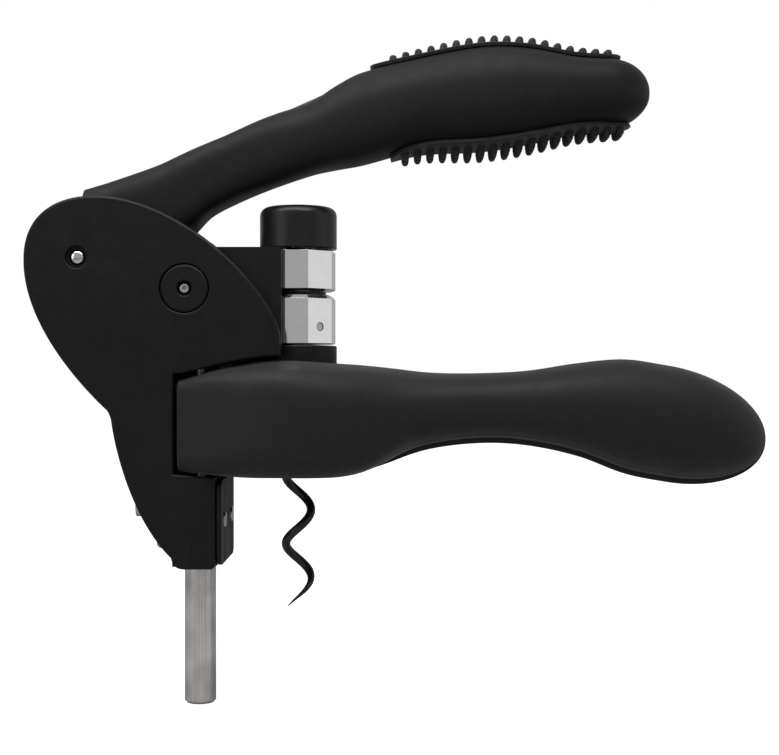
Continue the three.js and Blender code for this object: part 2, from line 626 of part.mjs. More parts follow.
function guideRod() {
  const CHAMFER = 0.6;
  const foot = new THREE.CylinderGeometry(ROD_R, ROD_R - CHAMFER, CHAMFER, 24).rotateX(Math.PI / 2);
  const rod = join(
    barZ(ROD_R, -ROD_BELOW + CHAMFER, ROD_TOP_Z, ROD_X, 0),
    solid(foot.translate(ROD_X, 0, -ROD_BELOW + CHAMFER / 2)),
  );
  return cut(rod, barZ(ROD_SCREW_R + FIT, ROD_TOP_Z - 8, 60, ROD_X, 0, 16));
}

function rodScrew() {
  const HEAD_T = 1.4;
  const shank = barZ(ROD_SCREW_R, ROD_TOP_Z - 7.5, CARRIAGE_TOP + 0.4, ROD_X, 0, 16);
  return join(shank, barZ(3.2, CARRIAGE_TOP + GAP, CARRIAGE_TOP + GAP + HEAD_T, ROD_X, 0, 16));
}

// A piece of the head with flat sides, and its corners taken off above and below.
function faceted(z0, z1, lowChamfer, highChamfer) {
  const CORNER = 1; // how far in the chamfers go
  const profile = [
    [0, z0], [HEAD_R - CORNER, z0], [HEAD_R, z0 + lowChamfer],
    [HEAD_R, z1 - highChamfer], [HEAD_R - CORNER, z1],
    [0, z1],
  ];
  return turned(profile, HEAD_SIDES, THREE.MathUtils.degToRad(HEAD_CORNER_DEG));
}

const COLLAR_SCREW_TIP = -HEAD_R + 3;
const collar = cut(
  faceted(COLLAR_Z, COLLAR_TOP, 0.4, 0.4),
  barZ(SPINDLE_R + FIT, -60, 60),
  barX(COLLAR_SCREW_R + FIT, -60, COLLAR_SCREW_TIP, 0, COLLAR_SCREW_Z),
);

const CAP_CAVITY_R = 5.4;
const CAP_CAVITY_H = 5;
const FLANGE_R = 5;
function headCap() {
  const EDGE = 2.2;
  const points = new THREE.Path();
  points.moveTo(0, CAP_Z);
  points.lineTo(HEAD_R, CAP_Z);
  points.lineTo(HEAD_R, CAP_Z + CAP_H - EDGE);
  points.quadraticCurveTo(HEAD_R, CAP_Z + CAP_H, HEAD_R - EDGE, CAP_Z + CAP_H);
  points.lineTo(0, CAP_Z + CAP_H);
  const cap = turned(points.getPoints(4).map((p) => [p.x, p.y]));
  return cut(cap, barZ(CAP_CAVITY_R, 0, CAP_Z + CAP_CAVITY_H));
}

const washer = cut(
  barZ(HEAD_R - 2.6, CHUCK_TOP + 0.2, COLLAR_Z - 0.2),
  barZ(SPINDLE_R + FIT, -60, 60),
);

add("carriage", carriageFrame(), castBlack);
add("guide_rod", guideRod(), steel);
add("rod_screw", rodScrew(), steel);
add("head_collar", collar, chrome);
add("collar_screw", barX(COLLAR_SCREW_R, WALL_REAR_X + 0.5, COLLAR_SCREW_TIP - GAP, 0, COLLAR_SCREW_Z), steel);
add("head_cap", headCap(), blackPlastic);
add("thrust_washer", washer, nylon);

// ---- Spindle, chuck, set screw and worm, which turn together ----

const SPINDLE_LOW_Z = CHUCK_TOP - 5;
const spindle = join(
  barZ(SPINDLE_R, SPINDLE_LOW_Z, CAP_Z + 2, 0, 0, 20),
  barZ(FLANGE_R, CAP_Z + 0.4, CAP_Z + 2.6, 0, 0, 20),
);

const SET_SCREW_Z = 18.3;
const SET_SCREW_R = 0.9;
const SET_SCREW_TURN = THREE.MathUtils.degToRad(HEAD_CORNER_DEG - 1.5 * (360 / HEAD_SIDES)); // mid-facet
const CHUCK_CAVITY_R = WORM_COIL_R + WORM_WIRE_R + 0.4;
const CHUCK_CAVITY_TOP = SPINDLE_LOW_Z - 1;
function alongSetScrew(radius, from, to, sides) {
  const bar = new THREE.CylinderGeometry(radius, radius, to - from, sides).rotateZ(-Math.PI / 2);
  return solid(bar.translate((from + to) / 2, 0, SET_SCREW_Z).rotateZ(SET_SCREW_TURN));
}
const chuck = cut(
  faceted(CHUCK_Z, CHUCK_TOP, 0.2, 0.9),
  barZ(SPINDLE_R + FIT, SPINDLE_LOW_Z - GAP, 60),
  barZ(CHUCK_CAVITY_R, 0, CHUCK_CAVITY_TOP),
  alongSetScrew(SET_SCREW_R + FIT, 0, 20, 16),
);
const worm = wormWire(0, WORM_TIP_Z, CHUCK_CAVITY_TOP - 0.8, true);

add("spindle", spindle, steel);
add("worm_chuck", chuck, chrome);
add("set_screw", alongSetScrew(SET_SCREW_R, CHUCK_CAVITY_R + 0.2, HEAD_R - 0.9, 16), steel);
add("worm", worm, wormCoating);

// ---- Lever: forked arms with the drive pins, beam, rubber grip pads and badge ----

const BEAM_ROOT_X = -23;
const beamCentre = through([
  [-23, 53], [-8, 59.6], [3, 63.4], [9, 66], [15, 68.1], [29, 71.6], [44, 73.4], [55, 74.1], [67, 74.2],
  [GRIP_END_X, 74.2],
]);
const beamHalfHeight = through([
  [-23, 8.4], [-8, 8.4], [3, 8.5], [9, 9.8], [15, 10.8], [29, 10.7], [44, 11.6], [55, 10.6], [67, 8.3],
  [GRIP_END_X, 7.9],
]);
const beamHalfWidth = through([
  [-23, ARM_OUT], [-8, ARM_OUT], [8, GRIP_HALF_WIDTH - 2.2], [30, GRIP_HALF_WIDTH], [60, GRIP_HALF_WIDTH],
  [GRIP_END_X, GRIP_HALF_WIDTH - 1.5],
]);
const BEAM_ROUNDING = 10.2;

function beamSection(grow) {
  return (x) => {
    const round = roundedEnd(x, GRIP_END_X + grow, BEAM_ROUNDING);
    return {
      y: 0,
      z: beamCentre(x),
      halfY: beamHalfWidth(x) * round + grow,
      halfZ: beamHalfHeight(x) * round + grow,
      square: 2.6,
    };
  };
}
const beam = (grow) => bodyAlongX(BEAM_ROOT_X - grow, GRIP_END_X + grow, beamSection(grow));

// One arm, drawn from the side: hub, crank down to the drive pin, and web up to the beam.
function forkArm() {
  const crank = new THREE.Shape();
  const across = new THREE.Vector2(DRIVE_Z - PIVOT_Z, PIVOT_X - DRIVE_X).setLength(ARM_HALF);
  crank.moveTo(PIVOT_X + across.x * 1.5, PIVOT_Z + across.y * 1.5);
  crank.lineTo(PIVOT_X - across.x * 1.5, PIVOT_Z - across.y * 1.5);
  crank.lineTo(DRIVE_X - across.x, DRIVE_Z - across.y);
  crank.lineTo(DRIVE_X + across.x, DRIVE_Z + across.y);
  crank.closePath();
  const web = new THREE.Shape();
  web.moveTo(-56.5, 37);
  web.lineTo(-44.5, 29.6);
  web.quadraticCurveTo(-32, 40, -23.8, 44.8);
  web.lineTo(-12, 51.5);
  web.lineTo(-12, 61);
  web.lineTo(-20, 61);
  web.lineTo(-51.2, 49);
  web.closePath();
  return cut(
    join(
      barY(7, ARM_IN, ARM_OUT, PIVOT_X, PIVOT_Z, 24),
      barY(ARM_HALF, ARM_IN, ARM_OUT, DRIVE_X, DRIVE_Z, 20),
      slab(crank, ARM_IN, ARM_OUT),
      slab(web, ARM_IN, ARM_OUT, 8),
    ),
    barY(PIVOT_PIN_R + FIT, 0, 60, PIVOT_X, PIVOT_Z),
    barY(DRIVE_PIN_R + FIT, 0, 60, DRIVE_X, DRIVE_Z),
  );
}

// The height of the beam's top (way 1) or underside (way -1) at x and y.
function beamSurface(x, y, way) {
  const s = beamSection(0)(x);
  return s.z + way * s.halfZ * (1 - Math.abs(y / s.halfY) ** s.square) ** (1 / s.square);
}

// A pad is a skin on the beam: the band about the beam's top or underside, less the beam, with rows of nubs.
function gripPad(fromX, toX, way, depth, firstNubX, nubHeight) {
  const ROWS = [-3, 3];
  const nubs = [];
  for (let i = 0; i < NUB_COUNT; i++) {
    for (const y of ROWS) {
      const x = firstNubX + i * NUB_PITCH;
      const height = nubHeight * (0.7 + 0.3 * Math.sin((Math.PI * i) / (NUB_COUNT - 1))) + PAD_SKIN / 2;
      const nub = new THREE.CylinderGeometry(0.65, 1, height, 4).rotateX(way * Math.PI / 2);
      nubs.push(solid(nub.translate(x, y, beamSurface(x, y, way) + way * (GAP + PAD_SKIN / 2 + height / 2))));
    }
  }
  const band = bodyAlongX(fromX, toX, (x) => ({
    y: 0,
    z: beamCentre(x) + way * beamHalfHeight(x),
    halfY: beamHalfWidth(x) * 0.8,
    halfZ: depth,
    square: 5,
  }), 16, 12);
  return join(cut(beam(GAP + PAD_SKIN).intersect(band), beam(GAP)), ...nubs);
}

const BADGE_X = -0.3;
const BADGE_T = 0.6;
function badge() {
  const oval = new THREE.CylinderGeometry(1, 1, 8, 24).rotateX(Math.PI / 2).scale(8.6, 4.6, 1);
  const tilt = Math.atan2(beamCentre(BADGE_X + 6) - beamCentre(BADGE_X - 6), 12);
  oval.rotateY(-tilt).translate(BADGE_X, 0, beamCentre(BADGE_X) + beamHalfHeight(BADGE_X));
  return cut(beam(GAP + BADGE_T).intersect(solid(oval)), beam(GAP));
}

const lever = new THREE.Group();
corkscrew.add(lever);
add("lever_body", join(beam(0), forkArm(), mirrored(forkArm())), leverPaint, lever);
add("upper_grip_pad", gripPad(17.4, 77, 1, 1.9, 22.7, UPPER_NUB_H), rubber, lever);
add("lower_grip_pad", gripPad(22, 79.2, -1, 3.4, 25.6, LOWER_NUB_H), rubber, lever);
add("lever_badge", badge(), greyBadge, lever);
for (const [side, place] of [["left", (body) => body], ["right", mirrored]]) {
  const drivePin = barY(DRIVE_PIN_R, ARM_IN, CHEEK_OUT - GAP, DRIVE_X, DRIVE_Z, 20);
  add(`${side}_drive_pin`, place(drivePin), steel, lever);
}

export default corkscrew;
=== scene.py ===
import math
import bpy
import bmesh
from mathutils import Matrix, Vector


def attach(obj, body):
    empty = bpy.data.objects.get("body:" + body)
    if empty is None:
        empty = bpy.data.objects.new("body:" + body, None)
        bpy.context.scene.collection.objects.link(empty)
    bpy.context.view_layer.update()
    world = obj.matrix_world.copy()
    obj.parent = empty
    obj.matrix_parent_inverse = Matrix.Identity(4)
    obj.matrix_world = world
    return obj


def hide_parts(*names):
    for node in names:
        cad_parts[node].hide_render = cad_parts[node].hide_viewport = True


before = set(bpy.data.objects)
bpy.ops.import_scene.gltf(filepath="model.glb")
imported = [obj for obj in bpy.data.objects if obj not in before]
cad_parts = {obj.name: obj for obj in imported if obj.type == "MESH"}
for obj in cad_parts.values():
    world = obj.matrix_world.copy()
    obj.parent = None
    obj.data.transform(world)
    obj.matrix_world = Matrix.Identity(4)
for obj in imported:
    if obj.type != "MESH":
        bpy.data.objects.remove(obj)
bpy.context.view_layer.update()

MM = 0.001


# ---- Camera ----
# A long view straight from the right-hand side, level with the upper jaw of the handles.

CAMERA_DISTANCE = 0.350
FRAME_WIDTH = 186.96 * MM  # how much of the object's middle plane the frame takes in

camera = bpy.data.cameras.new("camera")
camera.sensor_width = 36
camera.lens = camera.sensor_width * CAMERA_DISTANCE / FRAME_WIDTH
camera_object = bpy.data.objects.new("camera", camera)
camera_object.location = (21.84 * MM, -CAMERA_DISTANCE, 6.32 * MM)
camera_object.rotation_euler = (math.pi / 2, 0, 0)
bpy.context.scene.collection.objects.link(camera_object)
bpy.context.scene.camera = camera_object


# ---- Side plates ----
# The housing is two moulded plates of black glass-filled nylon, with a fine sparked grain and rounded
# outer edges. Their notch takes the roots of the closed handles, so it follows the handles' side outline.

PLATE_IN, PLATE_OUT = 11.3, 14.3
NOTCH_GAP = 0.7
NOTCH_FLOOR_GAP = 0.3
JAW_BELOW = 0.6  # the jaws' underside is this much lower than the handles' outline
NOTCH_X = -28.0
TAIL_FRONT_X = -18.3
TAIL_Z = -38
CHEEK_FRONT_X = -3.3
PIVOT_X, PIVOT_Z = -50.3, 34.1
PIN_RECESS_R, PIN_HOLE_R = 2.6, 1.85
PAD_DISC_X, PAD_DISC_Z, PAD_DISC_R = -25.5, 26.9, 5.6


def through(*pairs):
    """A smooth curve through (x, value) pairs."""
    last = len(pairs) - 1
    slopes = []
    for i in range(last + 1):
        a, b = pairs[max(0, i - 1)], pairs[min(last, i + 1)]
        slopes.append((b[1] - a[1]) / (b[0] - a[0]))

    def value(x):
        i = 0
        while i < last - 1 and x > pairs[i + 1][0]:
            i += 1
        (x0, v0), (x1, v1) = pairs[i], pairs[i + 1]
        w = x1 - x0
        t = min(1, max(0, (x - x0) / w))
        return (
            (2 * t**3 - 3 * t**2 + 1) * v0
            + (t**3 - 2 * t**2 + t) * w * slopes[i]
            + (3 * t**2 - 2 * t**3) * v1
            + (t**3 - t**2) * w * slopes[i + 1]
        )

    return value


handle_centre = through(
    (-26, -4.3), (-10, -3.4), (0, -3.4), (9, -3.5), (15, -3.1), (21, -2.6), (32, -1.6), (44, -1),
    (55, -1), (67, -1.4), (78, -3), (88, -4.7), (111.9, -8.4),
)
handle_half_height = through(
    (-26, 10.8), (-10, 13.3), (0, 13.8), (9, 13.2), (15, 12.4), (21, 11.3), (32, 9.1), (44, 8.4),
    (55, 9), (67, 11.2), (78, 13.7), (88, 14), (111.9, 14),
)


def notch_top(x):
    return handle_centre(x) + handle_half_height(x) + NOTCH_GAP


def notch_bottom(x):
    return handle_centre(x) - handle_half_height(x) - JAW_BELOW - NOTCH_FLOOR_GAP


def drawn(start, *strokes):
    """Points of an outline. A stroke of one point is a line, of two or three a curve to its last point."""
    points = [Vector(start)]
    for stroke in strokes:
        stroke = [Vector(p) for p in stroke]
        a = points[-1]
        steps = 1 if len(stroke) == 1 else max(6, round((stroke[-1] - a).length / 0.9))
        for i in range(1, steps + 1):
            t = i / steps
            hull = [a, *stroke]
            while len(hull) > 1:
                hull = [p.lerp(q, t) for p, q in zip(hull, hull[1:])]
            points.append(hull[0])
    if (points[0] - points[-1]).length < 0.01:
        points.pop()
    return points


def circle(x, z, radius, sides=48, start=0, end=360):
    """Points of a full circle, or of an arc that includes both of its ends."""
    whole = end - start == 360
    turns = [math.radians(start + (end - start) * i / sides) for i in range(sides + (not whole))]
    return [Vector((x + radius * math.cos(t), z + radius * math.sin(t))) for t in turns]


def slab(outline, holes, y0, y1):
    """A plate with holes, drawn from the side in x and z, and as thick as y0 to y1."""
    bm = bmesh.new()
    edges = []
    for loop in [outline, *holes]:
        corners = [bm.verts.new((p.x, y0, p.y)) for p in loop]
        edges += [bm.edges.new((corners[i - 1], corners[i])) for i in range(len(corners))]
    bmesh.ops.triangle_fill(bm, use_beauty=True, edges=edges)
    inner = [e for e in bm.edges if len(e.link_faces) == 2]
    bmesh.ops.dissolve_limit(bm, angle_limit=math.radians(1), edges=inner)
    lifted = bmesh.ops.extrude_face_region(bm, geom=bm.faces[:])["geom"]
    moved = [v for v in lifted if isinstance(v, bmesh.types.BMVert)]
    bmesh.ops.translate(bm, vec=(0, y1 - y0, 0), verts=moved)
    bmesh.ops.recalc_face_normals(bm, faces=bm.faces[:])
    return bm


def round_edges(bm, size, segments=3, where=lambda edge: True, sharper_than=40):
    """Rounds the edges that are sharper than an angle."""
    bm.normal_update()
    edges = [
        e for e in bm.edges
        if len(e.link_faces) == 2 and e.calc_face_angle() > math.radians(sharper_than) and where(e)
    ]
    bmesh.ops.bevel(
        bm, geom=edges, offset=size, offset_type="OFFSET", segments=segments, profile=0.5,
        affect="EDGES", clamp_overlap=True, material=-1,
    )
    return bm


def merged(*parts):
    """One mesh of several closed parts."""
    whole = parts[0]
    for part in parts[1:]:
        copy = bpy.data.meshes.new("part")
        part.to_mesh(copy)
        part.free()
        whole.from_mesh(copy)
        bpy.data.meshes.remove(copy)
    return whole


def mirrored(bm, way):
    """The left-hand piece as it is for way 1, or turned into the right-hand one for way -1."""
    if way < 0:
        bmesh.ops.scale(bm, vec=(1, -1, 1), verts=bm.verts[:])
        bmesh.ops.reverse_faces(bm, faces=bm.faces[:])
    return bm


def piece(name, bm, material, body, slot, *nodes, smooth_to=38, crisp=True):
    """Makes a finished object of a mesh in millimetres, parents it to its body and hides its CAD nodes."""
    bmesh.ops.scale(bm, vec=(MM, MM, MM), verts=bm.verts[:])
    mesh = bpy.data.meshes.new(name)
    bm.to_mesh(mesh)
    bm.free()
    for face in mesh.polygons:
        face.use_smooth = True
    mesh.set_sharp_from_angle(angle=math.radians(smooth_to))
    mesh.materials.append(material)
    made = bpy.data.objects.new(name, mesh)
    bpy.context.scene.collection.objects.link(made)
    if crisp:
        normals = made.modifiers.new("weighted_normals", "WEIGHTED_NORMAL")
        normals.keep_sharp = True
    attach(made, body)
    if nodes:
        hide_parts(*nodes)
    return made


def new_group(name, inputs, outputs):
    """A shader node group with named sockets, and its input and output nodes."""
    group = bpy.data.node_groups.new(name, "ShaderNodeTree")
    for label, kind, value in inputs:
        socket = group.interface.new_socket(name=label, in_out="INPUT", socket_type=kind)
        socket.default_value = value
    for label, kind in outputs:
        group.interface.new_socket(name=label, in_out="OUTPUT", socket_type=kind)
    return group, group.nodes.new("NodeGroupInput"), group.nodes.new("NodeGroupOutput")


def add_node(tree, kind, links=(), **values):
    """A node with its properties set, and with (input, output socket or value) pairs joined to it."""
    node = tree.nodes.new(kind)
    for key, value in values.items():
        setattr(node, key, value)
    for label, source in links:
        if isinstance(source, bpy.types.NodeSocket):
            tree.links.new(source, node.inputs[label])
        else:
            node.inputs[label].default_value = source
    return node


MIX_A, MIX_B, MIX_OUT = 6, 7, 2  # a Mix node's colour sockets


def skin_group():
    """Moulded skin: a fine grain that stands up, broad cloudiness in tone, and smudges in the gloss."""
    group, given, result = new_group(
        "moulded_skin",
        [
            ("Grain", "NodeSocketFloat", 3000.0),
            ("Depth", "NodeSocketFloat", 0.00002),
            ("Dark", "NodeSocketColor", (0.0, 0.0, 0.0, 1.0)),
            ("Light", "NodeSocketColor", (0.0, 0.0, 0.0, 1.0)),
            ("Gloss low", "NodeSocketFloat", 0.4),
            ("Gloss high", "NodeSocketFloat", 0.5),
        ],
        [("Color", "NodeSocketColor"), ("Roughness", "NodeSocketFloat"), ("Normal", "NodeSocketVector")],
    )
    place = add_node(group, "ShaderNodeTexCoord").outputs["Object"]
    grain = add_node(
        group, "ShaderNodeTexNoise",
        [("Vector", place), ("Scale", given.outputs["Grain"]), ("Detail", 3.0), ("Roughness", 0.6)],
    )
    cloud = add_node(
        group, "ShaderNodeTexNoise",
        [("Vector", place), ("Scale", 55.0), ("Detail", 4.0), ("Roughness", 0.55), ("Distortion", 0.4)],
    )
    speck = add_node(group, "ShaderNodeTexVoronoi", [("Vector", place), ("Scale", 900.0)])
    smudge = add_node(
        group, "ShaderNodeTexNoise",
        [("Vector", place), ("Scale", 120.0), ("Detail", 2.0), ("Distortion", 1.5)],
    )
    mixed = add_node(
        group, "ShaderNodeMath", [(0, cloud.outputs["Fac"]), (1, speck.outputs["Distance"])], operation="ADD",
    )
    tone = add_node(
        group, "ShaderNodeMapRange",
        [("Value", mixed.outputs[0]), ("From Min", 0.35), ("From Max", 1.35)],
    )
    colour = add_node(
        group, "ShaderNodeMix",
        [(0, tone.outputs["Result"]), (MIX_A, given.outputs["Dark"]), (MIX_B, given.outputs["Light"])],
        data_type="RGBA",
    )
    gloss = add_node(
        group, "ShaderNodeMapRange",
        [
            ("Value", smudge.outputs["Fac"]), ("From Min", 0.3), ("From Max", 0.7),
            ("To Min", given.outputs["Gloss low"]), ("To Max", given.outputs["Gloss high"]),
        ],
    )
    bump = add_node(
        group, "ShaderNodeBump",
        [("Strength", 0.6), ("Distance", given.outputs["Depth"]), ("Height", grain.outputs["Fac"])],
    )
    group.links.new(colour.outputs[MIX_OUT], result.inputs["Color"])
    group.links.new(gloss.outputs["Result"], result.inputs["Roughness"])
    group.links.new(bump.outputs["Normal"], result.inputs["Normal"])
    return group


def wear_and_highlight_group():
    """Edge wear and painted highlight: a broken mask that is 1 on sharp outer edges, which are lightened both
    as rubbed wear and as a painted highlight.
    """
    group, given, result = new_group(
        "edge_wear_and_highlight",
        [
            ("From", "NodeSocketFloat", 0.52),
            ("To", "NodeSocketFloat", 0.6),
            ("Amount", "NodeSocketFloat", 0.5),
        ],
        [("Mask", "NodeSocketFloat")],
    )
    place = add_node(group, "ShaderNodeTexCoord").outputs["Object"]
    shape = add_node(group, "ShaderNodeNewGeometry")
    patches = add_node(
        group, "ShaderNodeTexNoise",
        [("Vector", place), ("Scale", 260.0), ("Detail", 5.0), ("Roughness", 0.65)],
    )
    edge = add_node(
        group, "ShaderNodeMapRange",
        [
            ("Value", shape.outputs["Pointiness"]),
            ("From Min", given.outputs["From"]), ("From Max", given.outputs["To"]),
        ],
    )
    broken = add_node(
        group, "ShaderNodeMapRange",
        [("Value", patches.outputs["Fac"]), ("From Min", 0.38), ("From Max", 0.62)],
    )
    both = add_node(
        group, "ShaderNodeMath", [(0, edge.outputs["Result"]), (1, broken.outputs["Result"])],
        operation="MULTIPLY",
    )
    mask = add_node(
        group, "ShaderNodeMath", [(0, both.outputs[0]), (1, given.outputs["Amount"])], operation="MULTIPLY",
    )
    group.links.new(mask.outputs[0], result.inputs["Mask"])
    return group


moulded_skin = skin_group()
edge_wear_and_highlight = wear_and_highlight_group()


def moulded(
    name, dark, light, gloss, grain, depth, wear_and_highlight=0.4, worn_and_lit_edge=(0.03, 0.03, 0.031), coat=0.0, sheen=0.0,
    shine=0.22,
):
    """A moulded or painted surface: its skin, and outer edges made lighter, partly as wear that hands have
    rubbed and partly as a painted highlight.
    """
    material = bpy.data.materials.new(name)
    material.use_nodes = True
    tree = material.node_tree
    shader = tree.nodes["Principled BSDF"]
    skin = add_node(
        tree, "ShaderNodeGroup",
        [
            ("Grain", grain), ("Depth", depth), ("Dark", (*dark, 1)), ("Light", (*light, 1)),
            ("Gloss low", gloss[0]), ("Gloss high", gloss[1]),
        ],
        node_tree=moulded_skin,
    )
    worn_and_lit_mask = add_node(tree, "ShaderNodeGroup", [("Amount", wear_and_highlight)], node_tree=edge_wear_and_highlight)
    # Outer edges are mixed towards a lighter colour: partly rubbed wear, partly a painted highlight on the
    # edges.
    colour = add_node(
        tree, "ShaderNodeMix",
        [(0, worn_and_lit_mask.outputs["Mask"]), (MIX_A, skin.outputs["Color"]), (MIX_B, (*worn_and_lit_edge, 1))],
        data_type="RGBA",
    )
    tree.links.new(colour.outputs[MIX_OUT], shader.inputs["Base Color"])
    tree.links.new(skin.outputs["Roughness"], shader.inputs["Roughness"])
    tree.links.new(skin.outputs["Normal"], shader.inputs["Normal"])
    shader.inputs["Specular IOR Level"].default_value = shine
    shader.inputs["Coat Weight"].default_value = coat
    shader.inputs["Coat Roughness"].default_value = 0.3
    shader.inputs["Sheen Weight"].default_value = sheen
    shader.inputs["Sheen Roughness"].default_value = 0.5
    return material


black_plastic = moulded(
    "black_plastic", (0.0040, 0.0038, 0.0035), (0.0066, 0.0062, 0.0058), (0.40, 0.50), 3600, 0.00003,
    wear_and_highlight=0.1,
)

plate_outline = drawn(
    (CHEEK_FRONT_X, notch_top(CHEEK_FRONT_X)),
    [(-3.5, 16)],
    [(-4.3, 26.4), (-26.4, 48.4), (-46, 48.3)],
    [(-56, 48.4), (-62.8, 43.3), (-62.6, 33.3)],
    [(-62.6, 20.8), (-53, 7.8), (-43.5, -1.2)],
    [(-42.5, -2.2), (-42.2, -5.2)],
    [(-40.5, -15.2), (-36, -28.2), (-28.6, -35.4)],
    [(-28.2, TAIL_Z), (-25.6, TAIL_Z)],
    [(TAIL_FRONT_X - 1.4, TAIL_Z)],
    [(TAIL_FRONT_X, TAIL_Z), (TAIL_FRONT_X, TAIL_Z + 1.6)],
    [(TAIL_FRONT_X, notch_bottom(TAIL_FRONT_X))],
    [(NOTCH_X, notch_bottom(NOTCH_X))],
    [(NOTCH_X, notch_top(NOTCH_X))],
    *([(x, notch_top(x))] for x in range(-27, -3)),
)
tail_boss = drawn(
    (-28.2, -37.3), [(-28.2, -33.4)], [(-28.2, -31.2), (-26, -31.2)], [(-23.8, -31.2), (-23.8, -33.4)],
    [(-23.8, -37.3)],
)


def on_outer_face(edge):
    return all(abs(v.co.y) > PLATE_OUT - 0.01 for v in edge.verts)


def side_plate():
    holes = [(PIVOT_X, PIVOT_Z, PIN_RECESS_R, 40), (PAD_DISC_X, PAD_DISC_Z, PAD_DISC_R + 0.15, 64)]
    plate = slab(plate_outline, [circle(*hole) for hole in holes], PLATE_IN, PLATE_OUT)

    def at_hole(edge):
        return any(
            math.hypot(edge.verts[0].co.x - x, edge.verts[0].co.z - z) < radius + 0.2
            for x, z, radius, sides in holes
        )

    round_edges(plate, 0.3, 3, lambda e: on_outer_face(e) and at_hole(e))
    round_edges(plate, 0.9, 4, lambda e: on_outer_face(e) and not at_hole(e) and e.calc_length() > 0.05, 60)
    plate.normal_update()
    outer = [f for f in plate.faces if f.normal.y > 0.9999]
    bmesh.ops.inset_region(plate, faces=outer, thickness=0.12, use_even_offset=True)
    pin_seat = slab(
        circle(PIVOT_X, PIVOT_Z, PIN_RECESS_R + 0.2, 40), [circle(PIVOT_X, PIVOT_Z, PIN_HOLE_R, 32)],
        PLATE_IN + 0.01, PLATE_OUT - 1.2,
    )
    boss = round_edges(slab(tail_boss, [], PLATE_OUT - 1, PLATE_OUT + 0.12), 0.1, 2, on_outer_face)
    return merged(plate, pin_seat, boss)


for side, way in (("left", 1), ("right", -1)):
    plate = piece(
        f"{side}_plate", mirrored(side_plate(), way), black_plastic, "housing", "black_plastic",
        f"{side}_side_plate",
    )
    for face in plate.data.polygons:
        face.use_smooth = abs(face.normal.y) < 0.9999


# ---- Tail: spine block, rod bushes, dowel, fluted cover and screws ----
# Between the plates, below the handles, a moulded block carries the guide rod in two nylon bushes. A
# fluted cover is screwed to its front, and a dowel and a socket screw at the back hold block and plates.

COVER_BACK_X, COVER_FRONT_X = -18.0, -16.9
COVER_HALF_WIDTH, COVER_ROUND = 13.9, 0.8
COVER_Z0, COVER_Z1 = -37.2, -17.4
COVER_CORNER_R = 3.0  # the cover's corners as they are seen from the front
FLUTE_R, FLUTE_PITCH = 0.5, 2.6
COVER_SCREW_X, COVER_SCREW_Y, COVER_SCREW_Z = -17.2, 7.6, -27
REAR_SCREW_X, REAR_SCREW_Z = -36.6, -24.5
TOWARDS_X = Matrix.Rotation(math.radians(90), 4, "Y")
TOWARDS_REAR = Matrix.Rotation(math.radians(-90), 4, "Y")
TOWARDS_Y = Matrix.Rotation(math.radians(-90), 4, "X")


def drawn_metal_group():
    """Fine lines that a die, a grinder or a lathe leaves, stretched as the Lines input says."""
    group, given, result = new_group(
        "tool_lines",
        [
            ("Lines", "NodeSocketVector", (1.0, 1.0, 1.0)),
            ("Depth", "NodeSocketFloat", 0.00001),
            ("Dark", "NodeSocketColor", (0.0, 0.0, 0.0, 1.0)),
            ("Light", "NodeSocketColor", (0.0, 0.0, 0.0, 1.0)),
            ("Gloss low", "NodeSocketFloat", 0.1),
            ("Gloss high", "NodeSocketFloat", 0.3),
        ],
        [("Color", "NodeSocketColor"), ("Roughness", "NodeSocketFloat"), ("Normal", "NodeSocketVector")],
    )
    place = add_node(group, "ShaderNodeTexCoord").outputs["Object"]
    stretched = add_node(
        group, "ShaderNodeVectorMath", [(0, place), (1, given.outputs["Lines"])], operation="MULTIPLY",
    ).outputs[0]
    lines = add_node(
        group, "ShaderNodeTexNoise",
        [("Vector", stretched), ("Scale", 1.0), ("Detail", 4.0), ("Roughness", 0.7)],
    )
    stains = add_node(
        group, "ShaderNodeTexNoise", [("Vector", place), ("Scale", 140.0), ("Detail", 3.0)],
    )
    blend = add_node(
        group, "ShaderNodeMath", [(0, lines.outputs["Fac"]), (1, stains.outputs["Fac"])],
        operation="MULTIPLY",
    )
    tone = add_node(
        group, "ShaderNodeMapRange", [("Value", blend.outputs[0]), ("From Min", 0.12), ("From Max", 0.38)],
    )
    colour = add_node(
        group, "ShaderNodeMix",
        [(0, tone.outputs["Result"]), (MIX_A, given.outputs["Dark"]), (MIX_B, given.outputs["Light"])],
        data_type="RGBA",
    )
    gloss = add_node(
        group, "ShaderNodeMapRange",
        [
            ("Value", stains.outputs["Fac"]), ("From Min", 0.35), ("From Max", 0.65),
            ("To Min", given.outputs["Gloss low"]), ("To Max", given.outputs["Gloss high"]),
        ],
    )
    bump = add_node(
        group, "ShaderNodeBump",
        [("Strength", 0.5), ("Distance", given.outputs["Depth"]), ("Height", lines.outputs["Fac"])],
    )
    group.links.new(colour.outputs[MIX_OUT], result.inputs["Color"])
    group.links.new(gloss.outputs["Result"], result.inputs["Roughness"])
    group.links.new(bump.outputs["Normal"], result.inputs["Normal"])
    return group


tool_lines = drawn_metal_group()


